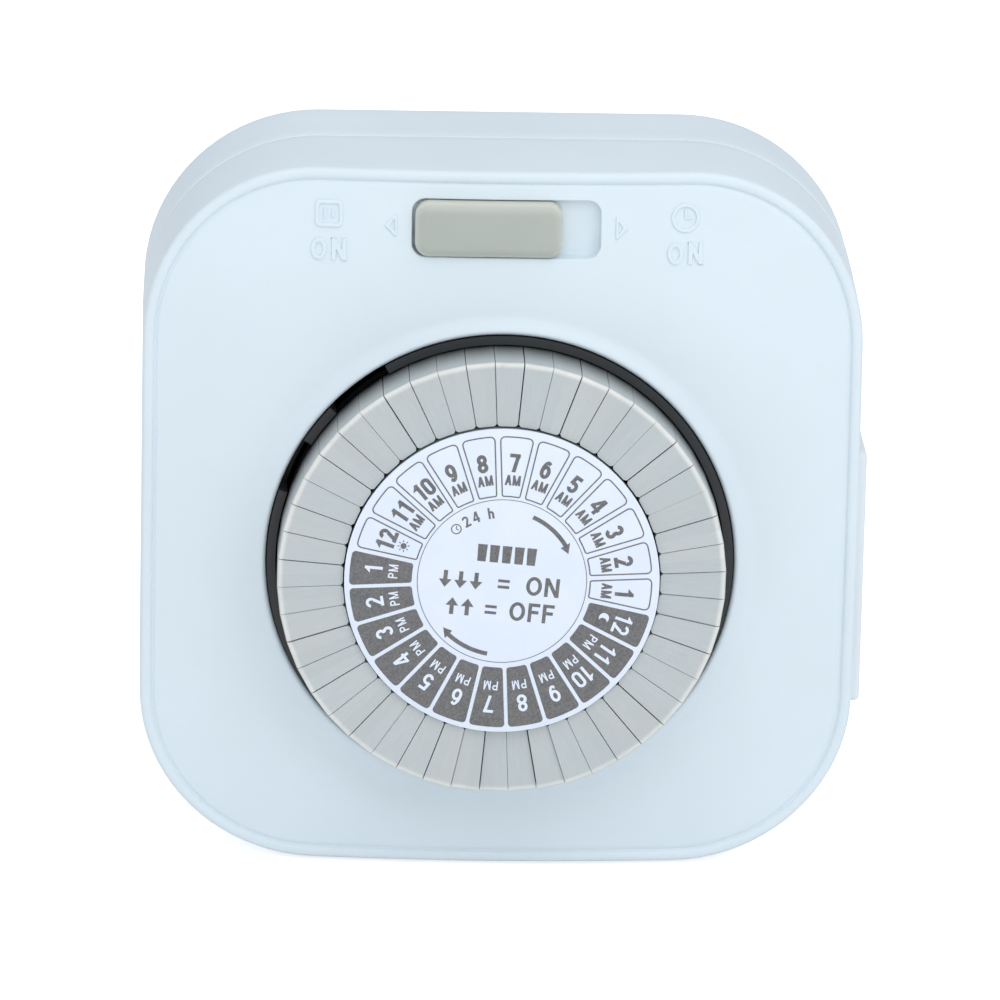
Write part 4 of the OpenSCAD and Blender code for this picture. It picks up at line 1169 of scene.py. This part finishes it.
def blade(name, node, side, width):
    """Polarised blade with a hole, a chamfered tip, its flange and its terminal."""
    b = Build(side_place)
    x, low, high = side * BLADE_GAP / 2, PLUG_RISE - width / 2, PLUG_RISE + width / 2
    tip, root = 2.0, WALL + 0.6
    outline = fillet([(-BLADE_LEN, low + tip / 2), (tip - BLADE_LEN, low), (root, low), (root, high),
                      (tip - BLADE_LEN, high), (-BLADE_LEN, high - tip / 2)], 0.3, 4)
    hole = circle(-BLADE_HOLE_AT, PLUG_RISE, BLADE_HOLE_R, 40)
    flange = rounded_rect(WALL + 0.6, PLUG_RISE, 0.6, width / 2 + 1.5, 0.15, 3)
    terminal = rounded_rect(WALL + 3.145, PLUG_RISE, 2.045, 2.3, 0.15, 3)
    b.solid(outline, x - BLADE_T / 2, x + BLADE_T / 2, 0.2, 0.2, [hole], 4)
    b.solid(flange, x - 2.2, x + 2.2, 0.1, 0.1)
    b.solid(terminal, x - 0.45, x + 0.45, 0.1, 0.1)
    b.piece(name, "root", BLADE, "blade_metal", [node])


# ---- stage, light and camera ----


FLOOR_COLOR = (0.82, 0.82, 0.82, 1)
# How strongly the floor glows in other rays, and where the camera sees it.
FLOOR_GLOW, FLOOR_SEEN = 0.12, 0.62
WORLD_LOW, WORLD_HIGH = 0.44, 0.88
SKY_TINT = (0.97, 1.0, 1.045)


def studio_floor():
    """White floor that keeps the object's shadow."""
    bottom = (-CASE_HALF - PLUG_RISE) * MM
    bpy.ops.mesh.primitive_plane_add(size=8, location=(0, 1.0, bottom - 0.0002))
    floor = bpy.context.object
    floor.name = "studio_floor"
    material, tree, bsdf = shader("studio floor")
    bsdf.inputs["Base Color"].default_value = FLOOR_COLOR
    bsdf.inputs["Roughness"].default_value = 0.9
    bsdf.inputs["Specular IOR Level"].default_value = 0.1
    seen = add_node(tree, "ShaderNodeLightPath").outputs["Is Camera Ray"]
    glow = add_node(tree, "ShaderNodeEmission", {"Strength": ramp(tree, seen, FLOOR_GLOW, FLOOR_SEEN)})
    both = add_node(tree, "ShaderNodeAddShader", {0: bsdf.outputs[0], 1: glow.outputs[0]})
    tree.links.new(both.outputs[0], tree.nodes["Material Output"].inputs["Surface"])
    floor.data.materials.append(material)


def studio_sky():
    """Cool soft light that is stronger from above, and plain white where the camera sees it."""
    world = bpy.data.worlds.new("studio")
    bpy.context.scene.world = world
    world.use_nodes = True
    tree = world.node_tree
    back = tree.nodes["Background"]
    seen = add_node(tree, "ShaderNodeLightPath").outputs["Is Camera Ray"]
    way = add_node(tree, "ShaderNodeTexCoord").outputs["Generated"]
    sky = ramp(tree, axis_of(tree, "Z", way), WORLD_LOW, WORLD_HIGH, -0.2, 1.0)
    tree.links.new(ramp(tree, seen, sky, 1.0), back.inputs["Strength"])
    tree.links.new(blend_color(tree, seen, SKY_TINT, (1, 1, 1)), back.inputs["Color"])


def softbox(name, place, size, power):
    """Rectangle of light, aimed at the middle of the plug."""
    light = bpy.data.lights.new(name, "AREA")
    light.shape = "RECTANGLE"
    light.size, light.size_y = size
    light.energy = power
    obj = bpy.data.objects.new(name, light)
    obj.location = place
    obj.rotation_euler = (-obj.location).to_track_quat("-Z", "Y").to_euler()
    bpy.context.scene.collection.objects.link(obj)


def camera():
    """Camera at the photograph's angle: it looks down a little, from just left of the middle."""
    aim, distance, drop = (0, -0.026, -0.014), 0.8, 0.00208
    azimuth, elevation, roll = (math.radians(a) for a in (-1.95, 15.8, 1.25))
    turn = (Matrix.Rotation(azimuth, 4, "Z") @ Matrix.Rotation(math.pi / 2 - elevation, 4, "X")
            @ Matrix.Rotation(roll, 4, "Z"))
    lens = bpy.data.cameras.new("camera")
    lens.sensor_width = 36
    lens.lens = 294.2
    lens.clip_start, lens.clip_end = 0.02, 50
    obj = bpy.data.objects.new("camera", lens)
    bpy.context.scene.collection.objects.link(obj)
    obj.matrix_world = Matrix.Translation(aim) @ turn @ Matrix.Translation((0, drop, distance))
    bpy.context.scene.camera = obj


dress_cad_nodes()
front_shell()
rear_shell()
pins()
dial_label()
dial_print()
slider_knob()
outlet_face()
blade("line_prong", "line_blade", 1, LINE_W)
blade("neutral_prong", "neutral_blade", -1, NEUTRAL_W)
studio_floor()
studio_sky()
softbox("key light", (0.3, -1.2, 0.97), (1.9, 1.5), 9.8)
softbox("front light", (0.1, -1.35, 0.13), (1.5, 0.32), 0.5)
camera()
bpy.context.scene.view_settings.view_transform = "Standard"
